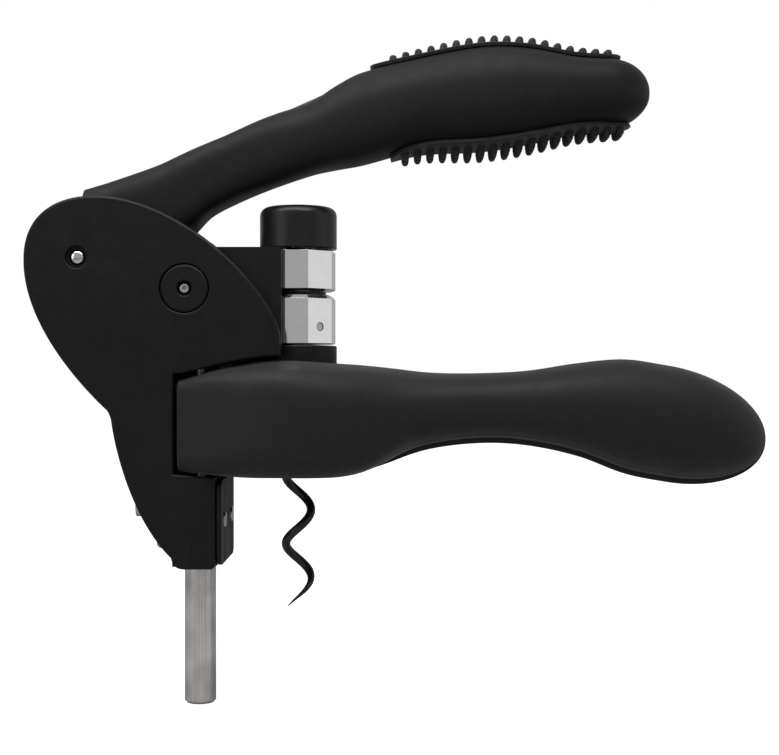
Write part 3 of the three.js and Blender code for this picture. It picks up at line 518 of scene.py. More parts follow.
def metal(name, dark, light, gloss, lines, depth):
    """Bare or plated metal with the lines of the tool that made it."""
    material = bpy.data.materials.new(name)
    material.use_nodes = True
    tree = material.node_tree
    shader = tree.nodes["Principled BSDF"]
    surface = add_node(
        tree, "ShaderNodeGroup",
        [
            ("Lines", lines), ("Depth", depth), ("Dark", (*dark, 1)), ("Light", (*light, 1)),
            ("Gloss low", gloss[0]), ("Gloss high", gloss[1]),
        ],
        node_tree=tool_lines,
    )
    tree.links.new(surface.outputs["Color"], shader.inputs["Base Color"])
    tree.links.new(surface.outputs["Roughness"], shader.inputs["Roughness"])
    tree.links.new(surface.outputs["Normal"], shader.inputs["Normal"])
    shader.inputs["Metallic"].default_value = 1.0
    return material


screw_steel = metal(
    "screw_steel", (0.36, 0.35, 0.34), (0.62, 0.61, 0.59), (0.22, 0.38), (900, 900, 900), 0.00001,
)
nylon = moulded("nylon", (0.011, 0.011, 0.011), (0.016, 0.016, 0.016), (0.38, 0.5), 5200, 0.00001, wear_and_highlight=0.15)


def turned(*profile, steps=64, bored=False):
    """A piece turned about an upright axis through the origin, from (radius, height) pairs."""
    bm = bmesh.new()
    line = [bm.verts.new((radius, 0, height)) for radius, height in profile]
    edges = [bm.edges.new(pair) for pair in zip(line, line[1:])]
    if bored:
        edges.append(bm.edges.new((line[-1], line[0])))
    bmesh.ops.spin(
        bm, geom=line + edges, cent=(0, 0, 0), axis=(0, 0, 1), dvec=(0, 0, 0), angle=2 * math.pi,
        steps=steps, use_merge=True,
    )
    bmesh.ops.remove_doubles(bm, verts=bm.verts[:], dist=0.0005)
    bmesh.ops.recalc_face_normals(bm, faces=bm.faces[:])
    return bm


def put(bm, at=(0, 0, 0), turn=Matrix.Identity(4)):
    """Turns a piece about the origin, then moves it to its place."""
    bmesh.ops.transform(bm, matrix=Matrix.Translation(at) @ turn, verts=bm.verts[:])
    return bm


def socket_screw(head_r, head_h, socket_r, socket_depth, shank_r, length):
    """A screw along Z with its head's seat at the origin and a hexagon socket in the head."""
    bm = turned(
        (0, -length), (shank_r, -length), (shank_r, 0), (head_r, 0), (head_r, head_h), (socket_r, head_h),
        (socket_r, head_h - socket_depth), (0, head_h - socket_depth - 0.3), steps=48,
    )
    round_edges(bm, min(0.18, 0.25 * head_h), 2, lambda e: all(v.co.z > head_h - 0.01 for v in e.verts))
    for v in bm.verts:
        radius = math.hypot(v.co.x, v.co.y)
        if socket_r - 0.01 < radius < socket_r + 0.25 and v.co.z > 0:
            turn = math.atan2(v.co.y, v.co.x) % math.radians(60) - math.radians(30)
            v.co.xy *= math.cos(math.radians(30)) / math.cos(turn) * 1.06
    return bm


def cad_copy(node, round_by=0.0, segments=2, sharper_than=40):
    """A CAD node's mesh in millimetres, its loose triangles joined into flats and its edges rounded."""
    bm = bmesh.new()
    bm.from_mesh(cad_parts[node].data)
    bmesh.ops.scale(bm, vec=(1 / MM, 1 / MM, 1 / MM), verts=bm.verts[:])
    bmesh.ops.remove_doubles(bm, verts=bm.verts[:], dist=0.001)
    bmesh.ops.dissolve_limit(bm, angle_limit=math.radians(0.5), verts=bm.verts[:], edges=bm.edges[:])
    if round_by:
        round_edges(bm, round_by, segments, sharper_than=sharper_than)
    return bm


def finish_nodes(material, *nodes):
    """Gives CAD nodes that stay a finished material."""
    for node in nodes:
        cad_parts[node].material_slots[0].material = material


piece("tail_block", cad_copy("spine_block", 0.35), black_plastic, "housing", "black_plastic", "spine_block")
finish_nodes(nylon, "upper_rod_bush", "lower_rod_bush")
finish_nodes(screw_steel, "tail_dowel")

back_steps = [COVER_HALF_WIDTH - COVER_CORNER_R + 0.4 * i for i in range(8)]
corner_steps = back_steps[1:5]
cover_outline = [Vector((COVER_BACK_X, -COVER_HALF_WIDTH))]
cover_outline += circle(
    COVER_FRONT_X - COVER_ROUND, COVER_ROUND - COVER_HALF_WIDTH, COVER_ROUND, 6, -90, 0,
)
cover_outline += [Vector((COVER_FRONT_X, -y)) for y in reversed(corner_steps)]
for flute in range(-4, 5):
    cover_outline += circle(COVER_FRONT_X, flute * FLUTE_PITCH, FLUTE_R, 8, -90, -270)
cover_outline += [Vector((COVER_FRONT_X, y)) for y in corner_steps]
cover_outline += circle(COVER_FRONT_X - COVER_ROUND, COVER_HALF_WIDTH - COVER_ROUND, COVER_ROUND, 6, 0, 90)
cover_outline.append(Vector((COVER_BACK_X, COVER_HALF_WIDTH)))
cover_outline += [Vector((COVER_BACK_X, y)) for y in reversed(back_steps)]
cover_outline += [Vector((COVER_BACK_X, -y)) for y in back_steps]
cover = put(slab(cover_outline, [], COVER_Z0, COVER_Z1), turn=Matrix.Rotation(math.radians(90), 4, "X"))
for v in cover.verts:
    out = max(0, abs(v.co.y) - COVER_HALF_WIDTH + COVER_CORNER_R)
    drop = COVER_CORNER_R - math.sqrt(max(0, COVER_CORNER_R**2 - out**2))
    v.co.z += drop if v.co.z < (COVER_Z0 + COVER_Z1) / 2 else -drop
bmesh.ops.triangulate(cover, faces=[f for f in cover.faces if len(f.verts) > 4])
round_edges(cover, 0.15, 2, sharper_than=60)
piece("fluted_cover", cover, black_plastic, "housing", "black_plastic", "tail_cover")

for side, way in (("left", 1), ("right", -1)):
    cover_screw = put(
        socket_screw(1.8, 0.7, 0.8, 0.45, 1.0, 6.5), (COVER_SCREW_X, COVER_SCREW_Y, COVER_SCREW_Z), TOWARDS_X,
    )
    piece(
        f"{side}_cover_head", mirrored(cover_screw, way), screw_steel, "housing", "steel",
        f"{side}_cover_screw",
    )
rear_screw = put(socket_screw(2.5, 2.2, 1.25, 1.4, 1.3, 6.5), (REAR_SCREW_X, 0, REAR_SCREW_Z), TOWARDS_REAR)
piece("rear_socket_screw", rear_screw, screw_steel, "housing", "steel", "rear_screw")


# ---- Lever pivot pin and its spacer ----
# A bright turned pin, domed at both ends, sits in a recess in each plate.

PIVOT_PIN_R = 1.7
PIN_END = PLATE_OUT - 1.5

pin_steel = metal("pin_steel", (0.60, 0.60, 0.60), (0.86, 0.86, 0.85), (0.10, 0.2), (700, 700, 700), 0.000006)

pin_half = turned(
    (0, 0), (PIVOT_PIN_R, 0), (PIVOT_PIN_R, PIN_END + 0.25), (1.62, PIN_END + 0.5), (1.4, PIN_END + 0.72),
    (1.0, PIN_END + 0.9), (0.5, PIN_END + 1.0), (0, PIN_END + 1.02), steps=48,
)
far_half = mirrored(put(pin_half.copy(), (PIVOT_X, 0, PIVOT_Z), TOWARDS_Y), -1)
near_half = put(pin_half, (PIVOT_X, 0, PIVOT_Z), TOWARDS_Y)
piece("pivot_pin", merged(near_half, far_half), pin_steel, "housing", "steel", "lever_pivot_pin")
finish_nodes(nylon, "pivot_spacer")


# ---- Guide pads ----
# Each plate holds a nylon disc that presses on the carriage's cheek. A socket screw in its middle sets it.

ADJUSTER_R, ADJUSTER_BORE_R = 1.05, 1.75
PAD_DISC_FLOOR = 0.6  # the disc is this thick under its screw
PAD_DISC_EDGE_R = PAD_DISC_R - 0.12

# A dark steel for the hinge pins: they are darkened as painted shade for the narrow gap above the handles'
# roots.
pin_shade_steel = metal(
    "pin_shade_steel", (0.020, 0.020, 0.021), (0.10, 0.10, 0.10), (0.16, 0.3), (800, 800, 800), 0.00001,
)

for side, way in (("left", 1), ("right", -1)):
    disc = turned(
        (ADJUSTER_BORE_R, PLATE_IN + PAD_DISC_FLOOR), (ADJUSTER_BORE_R, PLATE_OUT - 0.35),
        (ADJUSTER_BORE_R + 0.3, PLATE_OUT - 0.05), (PAD_DISC_R - 0.5, PLATE_OUT),
        (PAD_DISC_EDGE_R, PLATE_OUT - 0.3), (PAD_DISC_EDGE_R, PLATE_IN),
        (0.6, PLATE_IN), (0.6, PLATE_IN + PAD_DISC_FLOOR), steps=72, bored=True,
    )
    put(disc, (PAD_DISC_X, 0, PAD_DISC_Z), TOWARDS_Y)
    piece(
        f"{side}_pad_disc", mirrored(disc, way), black_plastic, "housing", "nylon", f"{side}_guide_pad",
    )
    adjuster = put(
        socket_screw(ADJUSTER_R, 1.6, 0.5, 1.1, 1.0, 0.2),
        (PAD_DISC_X, PLATE_IN + 0.7, PAD_DISC_Z), TOWARDS_Y,
    )
    piece(
        f"{side}_adjuster", mirrored(adjuster, way), screw_steel, "housing", "steel",
        f"{side}_adjuster_screw",
    )


# ---- Nut holder and guide nut ----
# The holder is a turned nylon collar with a round flange that the bottle's rim stops against, and an arm
# back to the spine. The nut inside it has the worm's channel.

STOP_R, STOP_T = 14.6, 3.2
HEAD_R = 9.2
HOLDER_TOP_Z = 13.9
NUT_R, NUT_H = 6.6, 9.0

holder = turned(
    (NUT_R + 0.15, 0), (STOP_R, 0), (STOP_R, STOP_T), (HEAD_R, STOP_T), (HEAD_R, HOLDER_TOP_Z),
    (5.05, HOLDER_TOP_Z), (5.05, NUT_H + 0.15), (NUT_R + 0.15, NUT_H + 0.15), steps=96, bored=True,
)
round_edges(holder, 0.4, 3)
holder_arm = round_edges(
    slab(drawn((-18.4, 3.8), [(-8.2, 3.8)], [(-8.2, 10.6)], [(-18.4, 10.6)]), [], -4.9, 4.9), 0.4, 2,
)
piece("stop_collar", merged(holder, holder_arm), black_plastic, "housing", "black_plastic", "nut_holder")
finish_nodes(nylon, "guide_nut")
finish_nodes(screw_steel, "holder_screw")


# ---- Carriage and guide rod ----
# The carriage is a die casting in black paint: two cheeks with the cross slots, a front wall behind the
# head, and a tongue that is screwed down on the drawn and ground steel rod.

ROD_X, ROD_R = -23.5, 3.75
ROD_FOOT_Z, ROD_TOP_Z = -71.4, 33.95
ROD_BORE_R, ROD_BORE_DEPTH = 1.95, 8
ROD_SCREW_SEAT_Z = 37.0

cast_black = moulded(
    "cast_black", (0.0045, 0.0042, 0.0038), (0.0068, 0.0064, 0.0058), (0.36, 0.44), 1500, 0.00004,
    wear_and_highlight=0.12, worn_and_lit_edge=(0.03, 0.03, 0.03),
)
ground_steel = metal(
    "ground_steel", (0.50, 0.48, 0.46), (0.80, 0.78, 0.75), (0.16, 0.28), (2600, 2600, 16), 0.00002,
)

piece("carriage_casting", cad_copy("carriage", 0.45, 3), cast_black, "carriage", "cast_black", "carriage")
rod = turned(
    (0, ROD_FOOT_Z + 0.5), (1.0, ROD_FOOT_Z), (ROD_R - 0.6, ROD_FOOT_Z), (ROD_R, ROD_FOOT_Z + 0.6),
    (ROD_R, ROD_TOP_Z), (ROD_BORE_R, ROD_TOP_Z), (ROD_BORE_R, ROD_TOP_Z - ROD_BORE_DEPTH),
    (0, ROD_TOP_Z - ROD_BORE_DEPTH), steps=72,
)
piece("rod", put(rod, (ROD_X, 0, 0)), ground_steel, "carriage", "steel", "guide_rod")
rod_cap = put(socket_screw(3.2, 1.4, 1.5, 1.0, 1.8, 10.0), (ROD_X, 0, ROD_SCREW_SEAT_Z))
piece("rod_socket_screw", rod_cap, screw_steel, "carriage", "steel", "rod_screw")
finish_nodes(screw_steel, "collar_screw")


# ---- Worm's head ----
# A moulded cap over the thrust flange, a plated eight-sided collar that stays still, and below the groove
# a plated chuck of the same shape that turns with the worm. A small set screw holds the worm in it.

CAP_Z, CAP_TOP_Z = 37.0, 47.0
CAP_BORE_R, CAP_BORE_DEPTH = 5.4, 5

cap_black = moulded(
    "cap_black", (0.0070, 0.0070, 0.0070), (0.0105, 0.0104, 0.0102), (0.26, 0.34), 4200, 0.00001, wear_and_highlight=0.3,
    coat=0.15,
)
chrome = metal("chrome", (0.80, 0.80, 0.81), (0.86, 0.86, 0.87), (0.05, 0.10), (400, 400, 900), 0.000001)

cap = turned(
    (0, CAP_TOP_Z - 0.25), (6.4, CAP_TOP_Z), (HEAD_R, CAP_TOP_Z), (HEAD_R, CAP_Z), (CAP_BORE_R, CAP_Z),
    (CAP_BORE_R, CAP_Z + CAP_BORE_DEPTH), (0, CAP_Z + CAP_BORE_DEPTH), steps=96,
)
round_edges(
    cap, 2.1, 8,
    lambda e: all(v.co.z > CAP_TOP_Z - 0.01 and math.hypot(v.co.x, v.co.y) > 8 for v in e.verts),
)
round_edges(cap, 0.25, 2, lambda e: all(v.co.z < CAP_Z + 0.01 for v in e.verts))
piece("cap", cap, cap_black, "carriage", "black_plastic", "head_cap")
for name, body, node in (("collar", "carriage", "head_collar"), ("chuck", "worm_head", "worm_chuck")):
    piece(name, cad_copy(node, 0.14, 2, 20), chrome, body, "chrome", node, smooth_to=20)
finish_nodes(nylon, "thrust_washer")
finish_nodes(pin_steel, "spindle")
finish_nodes(screw_steel, "set_screw")


# ---- Worm ----
# An open spiral of round spring wire, ground to a point that stays on the coil, with a slick black coating
# that the cork has worn towards the tip.

WORM_PITCH, COIL_R, WIRE_R = 16.3, 3.0, 1.05
TIP_Z, WORM_TOP_Z, PHASE_Z = -48.35, 19.9, -25.5
POINT_LENGTH = 9.0
WIRE_SIDES = 24

worm_coating = moulded(
    "worm_coating", (0.0080, 0.0080, 0.0082), (0.0130, 0.0130, 0.0130), (0.20, 0.32), 2600, 0.00001,
    wear_and_highlight=0.5, worn_and_lit_edge=(0.10, 0.10, 0.10), coat=0.3,
)

worm_turns = (WORM_TOP_Z - TIP_Z) / WORM_PITCH
worm_steps = math.ceil(worm_turns * 56)
wire = bmesh.new()
bmesh.ops.create_circle(wire, cap_ends=False, segments=WIRE_SIDES, radius=WIRE_R)
lead = math.atan2(COIL_R, WORM_PITCH / (2 * math.pi))
put(wire, turn=Matrix.Rotation(-lead, 4, "X"))
put(wire, (COIL_R, 0, 0))
put(wire, (0, 0, TIP_Z), Matrix.Rotation(2 * math.pi * (TIP_Z - PHASE_Z) / WORM_PITCH, 4, "Z"))
bmesh.ops.spin(
    wire, geom=wire.verts[:] + wire.edges[:], cent=(0, 0, 0), axis=(0, 0, 1),
    dvec=(0, 0, (WORM_TOP_Z - TIP_Z) / worm_steps), angle=2 * math.pi * worm_turns, steps=worm_steps,
)
wire.verts.ensure_lookup_table()
for i in range(0, len(wire.verts), WIRE_SIDES):
    ring = wire.verts[i:i + WIRE_SIDES]
    middle = sum((v.co for v in ring), Vector()) / WIRE_SIDES
    ground = min(1, 0.08 + (middle.z - TIP_Z) / POINT_LENGTH)
    for v in ring:
        v.co = middle + (v.co - middle) * ground
bmesh.ops.holes_fill(wire, edges=[e for e in wire.edges if e.is_boundary], sides=WIRE_SIDES)
bmesh.ops.recalc_face_normals(wire, faces=wire.faces[:])
piece("spiral", wire, worm_coating, "worm_head", "worm_coating", "worm", crisp=False)


# ---- Lever ----
# A beam swells into the grip, and a slot makes a fork of its root. On each side of the slot a flat arm
# goes round the pivot and down to a drive pin. The paint is soft to the touch.

ARM_IN, ARM_OUT = 5.3, 9.2
DRIVE_X, DRIVE_Z = -32.986, 9.6
BEAM_ROOT_X, BEAM_END_X = -50.1, 84.1
BEAM_ROUNDING = 10.2
GRIP_SQUARENESS, ROOT_SQUARER_BY = 2.6, 1.2
SQUARER_FROM_X, SQUARER_OVER = 4, 26  # the section starts to change here, over this length
HUB_R, CRANK_R = 7, 4.2
DRIVE_PIN_R, DRIVE_HOLE_R = 2.4, 2.55
FORK_END_X = -26.5  # the fork's slot ends here

lever_paint = moulded(
    "lever_paint", (0.0070, 0.0067, 0.0071), (0.0105, 0.0101, 0.0106), (0.46, 0.56), 4200, 0.00002,
    wear_and_highlight=0.3, sheen=0.03, shine=0.15,
)

beam_centre = through(
    (-50.1, 42.4), (-44.5, 41.0), (-33, 45.6), (-28, 48.7), (-24.7, 51), (-21.6, 53.3), (-17, 55.6),
    (-8, 59.6), (3, 63.4), (9, 66), (15, 68.1), (29, 71.6), (44, 73.4), (55, 74.1), (67, 74.2), (84.1, 74.2),
)
beam_half_height = through(
    (-50.1, 8.6), (-44.5, 11.8), (-33, 11.2), (-28, 10.4), (-24.7, 9.6), (-21.6, 8.6), (-17, 8.25),
    (-8, 8.4), (3, 8.5), (9, 9.8), (15, 10.8), (29, 10.7), (44, 11.6), (55, 10.6), (67, 8.3), (84.1, 7.9),
)
beam_half_width = through((-50.1, 9.2), (-8, 9.2), (8, 9.8), (30, 12), (60, 12), (84.1, 10.5))


def power(value, exponent):
    return math.copysign(abs(value) ** exponent, value) if abs(value) > 1e-9 else 0.0


def rounded_end(x, end_x, length):
    into = max(0.0, (x - end_x + length) / length)
    return math.sqrt(max(0.0004, 1 - into * into))


def beam_squareness(x):
    """The section's exponent: 2 would be an oval, and more is squarer."""
    return GRIP_SQUARENESS + ROOT_SQUARER_BY * min(1, max(0, (SQUARER_FROM_X - x) / SQUARER_OVER))


def beam_point(x, turn, grow=0.0):
    """A point of the beam's skin: turn is 0 on the left side and 90 degrees on top."""
    tip = rounded_end(x, BEAM_END_X + grow, BEAM_ROUNDING)
    square = beam_squareness(x)
    half_y = beam_half_width(x) * tip + grow
    half_z = beam_half_height(x) * tip + grow
    return Vector((
        x,
        half_y * power(math.cos(turn), 2 / square),
        beam_centre(x) + half_z * power(math.sin(turn), 2 / square),
    ))


def stations(x0, x1, step, rounding=0.0, nose_steps=20):
    """Places along X, closer together where the end is rounded."""
    straight = x1 - rounding - x0
    count = max(2, round(straight / step))
    places = [x0 + straight * i / count for i in range(count + 1)]
    if rounding:
        places += [
            x1 - rounding + rounding * math.sin(math.radians(90 * i / nose_steps))
            for i in range(1, nose_steps + 1)
        ]
    return places


def loft(places, turns, point, closed=True):
    """A skin through sections along X. turns are a section's angles, and point gives each place's points."""
    bm = bmesh.new()
    number = bm.verts.layers.int.new("number")
    ring = []
    for i, turn in enumerate(turns):
        v = bm.verts.new(point(places[0], turn))
        v[number] = i
        ring.append(v)
    edges = [bm.edges.new(pair) for pair in zip(ring, ring[1:])]
    if closed:
        edges.append(bm.edges.new((ring[-1], ring[0])))
        bm.faces.new(ring)
    for x in places[1:]:
        grown = bmesh.ops.extrude_edge_only(bm, edges=edges)["geom"]
        edges = [g for g in grown if isinstance(g, bmesh.types.BMEdge)]
        for v in grown:
            if isinstance(v, bmesh.types.BMVert):
                v.co = point(x, turns[v[number]])
    if closed:
        bmesh.ops.contextual_create(bm, geom=edges)
    bmesh.ops.recalc_face_normals(bm, faces=bm.faces[:])
    return bm


def block(x0, x1, y0, y1, z0, z1):
    bm = bmesh.new()
    bmesh.ops.create_cube(bm, size=1.0)
    bmesh.ops.scale(bm, vec=(x1 - x0, y1 - y0, z1 - z0), verts=bm.verts[:])
    return put(bm, ((x0 + x1) / 2, (y0 + y1) / 2, (z0 + z1) / 2))


def bar(radius, z0, z1, x=0.0, y=0.0, steps=96):
    return put(turned((0, z0), (radius, z0), (radius, z1), (0, z1), steps=steps), (x, y, 0))


def hollowed(bm, *cutters):
    """Cuts closed shapes out of a mesh, one after the other."""
    tools = []
    mesh = bpy.data.meshes.new("hollowed")
    bm.to_mesh(mesh)
    bm.free()
    work = bpy.data.objects.new("hollowed", mesh)
    bpy.context.scene.collection.objects.link(work)
    for cutter in cutters:
        tool_mesh = bpy.data.meshes.new("cutter")
        cutter.to_mesh(tool_mesh)
        cutter.free()
        tool = bpy.data.objects.new("cutter", tool_mesh)
        bpy.context.scene.collection.objects.link(tool)
        cut = work.modifiers.new("cut", "BOOLEAN")
        cut.operation = "DIFFERENCE"
        cut.solver = "EXACT"
        cut.object = tool
        tools.append(tool)
    bpy.context.view_layer.update()
    result = bmesh.new()
    result.from_object(work, bpy.context.evaluated_depsgraph_get())
    for leftover in [work, *tools]:
        data = leftover.data
        bpy.data.objects.remove(leftover)
        bpy.data.meshes.remove(data)
    return result


whole_turn = [math.radians(5 * i) for i in range(72)]
beam = hollowed(
    loft(stations(BEAM_ROOT_X, BEAM_END_X, 1.1, BEAM_ROUNDING), whole_turn, beam_point),
    block(-70, FORK_END_X, -ARM_IN, ARM_IN, 0, 80),
)


def fork_arm():
    """The hub round the pivot, and the crank down to the drive pin."""
    outline = circle(PIVOT_X, PIVOT_Z, HUB_R, 36, 215, 35) + circle(DRIVE_X, DRIVE_Z, CRANK_R, 24, 35, -145)
    holes = [circle(PIVOT_X, PIVOT_Z, PIN_HOLE_R, 32), circle(DRIVE_X, DRIVE_Z, DRIVE_HOLE_R, 32)]
    return round_edges(slab(outline, holes, ARM_IN, ARM_OUT - 0.05), 0.5, 2, sharper_than=70)


forked_lever = merged(beam, fork_arm(), mirrored(fork_arm(), -1))
piece("lever", forked_lever, lever_paint, "lever", "soft_touch", "lever_body", crisp=False)

for side, way in (("left", 1), ("right", -1)):
    drive_pin = turned(
        (0, ARM_IN), (DRIVE_PIN_R, ARM_IN), (DRIVE_PIN_R, 10.55), (2.15, 10.8), (0.9, 10.8), (0.6, 10.4),
        (0, 10.3), steps=40,
    )
    put(drive_pin, (DRIVE_X, 0, DRIVE_Z), TOWARDS_Y)
    piece(
        f"{side}_drive_roller", mirrored(drive_pin, way), pin_steel, "lever", "steel", f"{side}_drive_pin",
    )


# ---- Grip pads ----
# Two rubber pads are moulded into the lever's grip, above and below. Each is a thin skin with a rolled rim,
# and carries rows of soft round nubs that are longest in the middle.

PAD_OVER, PAD_SKIN = 0.3, 0.8
NUB_R, NUB_PITCH, NUB_COUNT, NUB_ROWS = 0.95, 3.0, 18, (-4.4, -2.2, 0, 2.2, 4.4)

rubber = moulded(
    "rubber", (0.0085, 0.0085, 0.0085), (0.0125, 0.0124, 0.0122), (0.50, 0.62), 5200, 0.00002, wear_and_highlight=0.25,
    worn_and_lit_edge=(0.03, 0.03, 0.03), sheen=0.15,
)


def nub(radius, height):
    """A soft peg with a round end, upright on the origin."""
    return turned(
        (0, -0.5), (radius, -0.5), (radius * 0.94, height * 0.35), (radius * 0.8, height * 0.72),
        (radius * 0.46, height * 0.94), (0, height), steps=12,
    )


def grip_pad(x0, x1, way, spread, first_nub_x, nub_height):
    """A pad on the beam's top for way 1, or its underside for way -1, that spreads to both sides."""
    middle, half_length = (x0 + x1) / 2, (x1 - x0) / 2
    shares = [i / 24 - 1 for i in range(49)]

    def point(x, share):
        along = min(1, abs(x - middle) / half_length)
        reach = math.radians(spread) * max(0.06, (1 - along**7) ** (1 / 2.4))
        return beam_point(x, way * math.pi / 2 + share * reach, PAD_OVER)

    places = [middle - half_length * math.cos(math.pi * i / 90) for i in range(91)]
    skin = loft(places, shares, point, closed=False)
    if sum(f.normal.z * f.calc_area() for f in skin.faces) * way <= 0:
        bmesh.ops.reverse_faces(skin, faces=skin.faces[:])
    skin.normal_update()
    lifted = bmesh.ops.extrude_face_region(skin, geom=skin.faces[:])["geom"]
    for v in [g for g in lifted if isinstance(g, bmesh.types.BMVert)]:
        v.co += v.normal * PAD_SKIN
    bmesh.ops.recalc_face_normals(skin, faces=skin.faces[:])
    round_edges(skin, 0.3, 3, sharper_than=55)
    pegs = []
    for i in range(NUB_COUNT):
        x = first_nub_x + i * NUB_PITCH
        height = nub_height * (0.7 + 0.3 * math.sin(math.pi * i / (NUB_COUNT - 1)))
        for y in NUB_ROWS:
            half_y = beam_half_width(x)
            turn = way * math.acos((abs(y) / half_y) ** (beam_squareness(x) / 2))
            foot = beam_point(x, turn, PAD_OVER + PAD_SKIN)
            peg = nub(NUB_R, height)
            if way < 0:
                put(peg, turn=Matrix.Rotation(math.pi, 4, "X"))
            pegs.append(put(peg, (x, y, foot.z)))
    return merged(skin, *pegs)


upper_pad = grip_pad(17.4, 77, 1, 25, 22.7, 1.5)
lower_pad = grip_pad(22, 79.2, -1, 30, 25.6, 2.7)
for place, pad in (("upper", upper_pad), ("lower", lower_pad)):
    piece(f"{place}_pad", pad, rubber, "lever", "rubber", f"{place}_grip_pad", crisp=False)


# ---- Badge ----
# A plain oval plate of satin grey metal lies on the lever's top. Its edge follows the skin, and there is
# nothing on it.

BADGE_X, BADGE_HALF_X, BADGE_HALF_Y = -0.6, 7.6, 4.3
BADGE_LIFT, BADGE_T = 0.12, 0.3

satin_grey = metal(
    "satin_grey", (0.13, 0.13, 0.135), (0.22, 0.22, 0.225), (0.36, 0.46), (90, 4200, 90), 0.000008,
)

badge = bmesh.new()
bmesh.ops.create_circle(badge, cap_ends=True, segments=64, radius=1.0)
for v in badge.verts:
    x, y = BADGE_X + v.co.x * BADGE_HALF_X, v.co.y * BADGE_HALF_Y
    side_share = min(1.0, abs(y) / beam_half_width(x))
    turn = math.acos(side_share ** (beam_squareness(x) / 2))
    v.co = (x, y, beam_point(x, turn).z + BADGE_LIFT)
lowered = bmesh.ops.extrude_edge_only(badge, edges=[e for e in badge.edges if e.is_boundary])["geom"]
foot = [g for g in lowered if isinstance(g, bmesh.types.BMVert)]
bmesh.ops.translate(badge, vec=(0, 0, -BADGE_T), verts=foot)
bmesh.ops.contextual_create(badge, geom=[g for g in lowered if isinstance(g, bmesh.types.BMEdge)])
bmesh.ops.recalc_face_normals(badge, faces=badge.faces[:])
piece("badge", badge, satin_grey, "lever", "grey_badge", "lever_badge", crisp=False)


# ---- Handles ----
# Each handle is a stiff nylon core with a thick soft shell over it. The shell ends in a rolled rim just
# above the core's edge, and both are hollowed for the bottle's neck, the nut holder and the carriage.

HANDLE_ROOT_X, HANDLE_END_X = -27.1, 111.9
HANDLE_ROUNDING = 24.0
ROOT_EDGE_R = 0.7
LIP, BEAD = 1.2, 0.55
MEET = 0.6
CORE_RIM_T, RIM_GAP = 2.6, 0.3
SHELL_FROM = MEET + CORE_RIM_T + RIM_GAP
SHELL_T = 1.7
CORE_INSET = 2.0
HANDLE_SQUARENESS = 2.4
JAW_R = 16.7
BEYOND = 60  # further than any handle reaches where a space is open-ended
SPINE_SPACE_X, SPINE_SPACE_Y = -14.7, 6.8
HOLDER_ARM_SPACE_Y = 5.4
CHEEK_SPACE_X, CHEEK_SPACE_Z = -14.4, 2.4
LINING_IN_R, LINING_OUT_R, LINING_GROOVE_R = 14.85, 16.4, 15.2
HINGE_X, HINGE_Y, HINGE_PIN_R = -21.8, 12.8, 1.1

soft_touch = moulded(
    "soft_touch", (0.0095, 0.0090, 0.0100), (0.0130, 0.0125, 0.0137), (0.50, 0.60), 4200, 0.00002,
    wear_and_highlight=0.25, worn_and_lit_edge=(0.04, 0.04, 0.042), sheen=0.12,
)

handle_half_width = through(
    (-26, 14.9), (-14, 18.9), (-5, 21), (3, 21.3), (12, 19.1), (22, 15.1), (32, 12.4), (46, 10.8),
    (60, 11.6), (80, 13.4), (111.9, 12.5),
)


def jaw_share(x):
    """1 at the jaw, falling smoothly to 0 along the grip."""
    t = min(1, max(0, (28 - x) / 14))
    return t * t * (3 - 2 * t)


def handle_point(x, turn, inset=0.0, lip=0.0, bead=0.0):
    """A point of a handle's skin: turn is 0 on the outer side and 90 degrees on top."""
    tip = rounded_end(x, HANDLE_END_X - inset, HANDLE_ROUNDING)
    root = max(0.0, HANDLE_ROOT_X + ROOT_EDGE_R - x)
    edge_round = ROOT_EDGE_R - math.sqrt(max(0.0, 0.49 - root * root)) if not inset else 0.0
    jaw = jaw_share(x)
    below = math.sin(turn) < 0
    half_y = max(0.05, handle_half_width(x) * tip - inset - edge_round)
    half_z = max(0.05, handle_half_height(x) * tip - inset - edge_round)
    squarer = 3 * jaw if below else 1.8 * min(1, max(0, (24 - x) / 30))
    square = HANDLE_SQUARENESS + squarer
    square += 3 * min(1, max(0, (-12 - x) / 10))
    if below:
        half_z += JAW_BELOW * jaw - lip * (1 - jaw) * tip
    y = half_y * power(math.cos(turn), 2 / square)
    z = half_z * power(math.sin(turn), 2 / square)
    if bead and below:
        y += bead * (1 - 0.7 * jaw) * tip * math.exp(-(((z + half_z - 0.62) / 0.42) ** 2))
    return Vector((x, y, handle_centre(x) + z))


def handle_half(inset, from_y, to_y=None, lip=0.0, bead=0.0, step=1.2):
    """The left-hand half of the closed pair, from one plane outwards, or only as far as a second one."""
    turns = [-90 + 180 * i / 54 for i in range(55)]
    turns += [-84 + 1.2 * i for i in range(34)]
    turns = [math.radians(t) for t in sorted(set(round(t, 3) for t in turns))]
    places = [HANDLE_ROOT_X + ROOT_EDGE_R * (1 - math.cos(math.radians(15 * i))) for i in range(6)]
    places += stations(HANDLE_ROOT_X + ROOT_EDGE_R, HANDLE_END_X - inset, step, HANDLE_ROUNDING, 34)
    bm = loft(places, turns, lambda x, turn: handle_point(x, turn, inset, lip, bead))
    planes = [(from_y, 1)]
    if to_y is not None:
        planes.append((to_y, -1))
    for plane_y, facing in planes:
        bmesh.ops.bisect_plane(
            bm, geom=bm.verts[:] + bm.edges[:] + bm.faces[:], dist=0.0001,
            plane_co=(0, plane_y, 0), plane_no=(0, facing, 0), clear_inner=True,
        )
        rim = [e for e in bm.edges if e.is_boundary]
        bmesh.ops.contextual_create(bm, geom=rim)
    bmesh.ops.recalc_face_normals(bm, faces=bm.faces[:])
    return bm


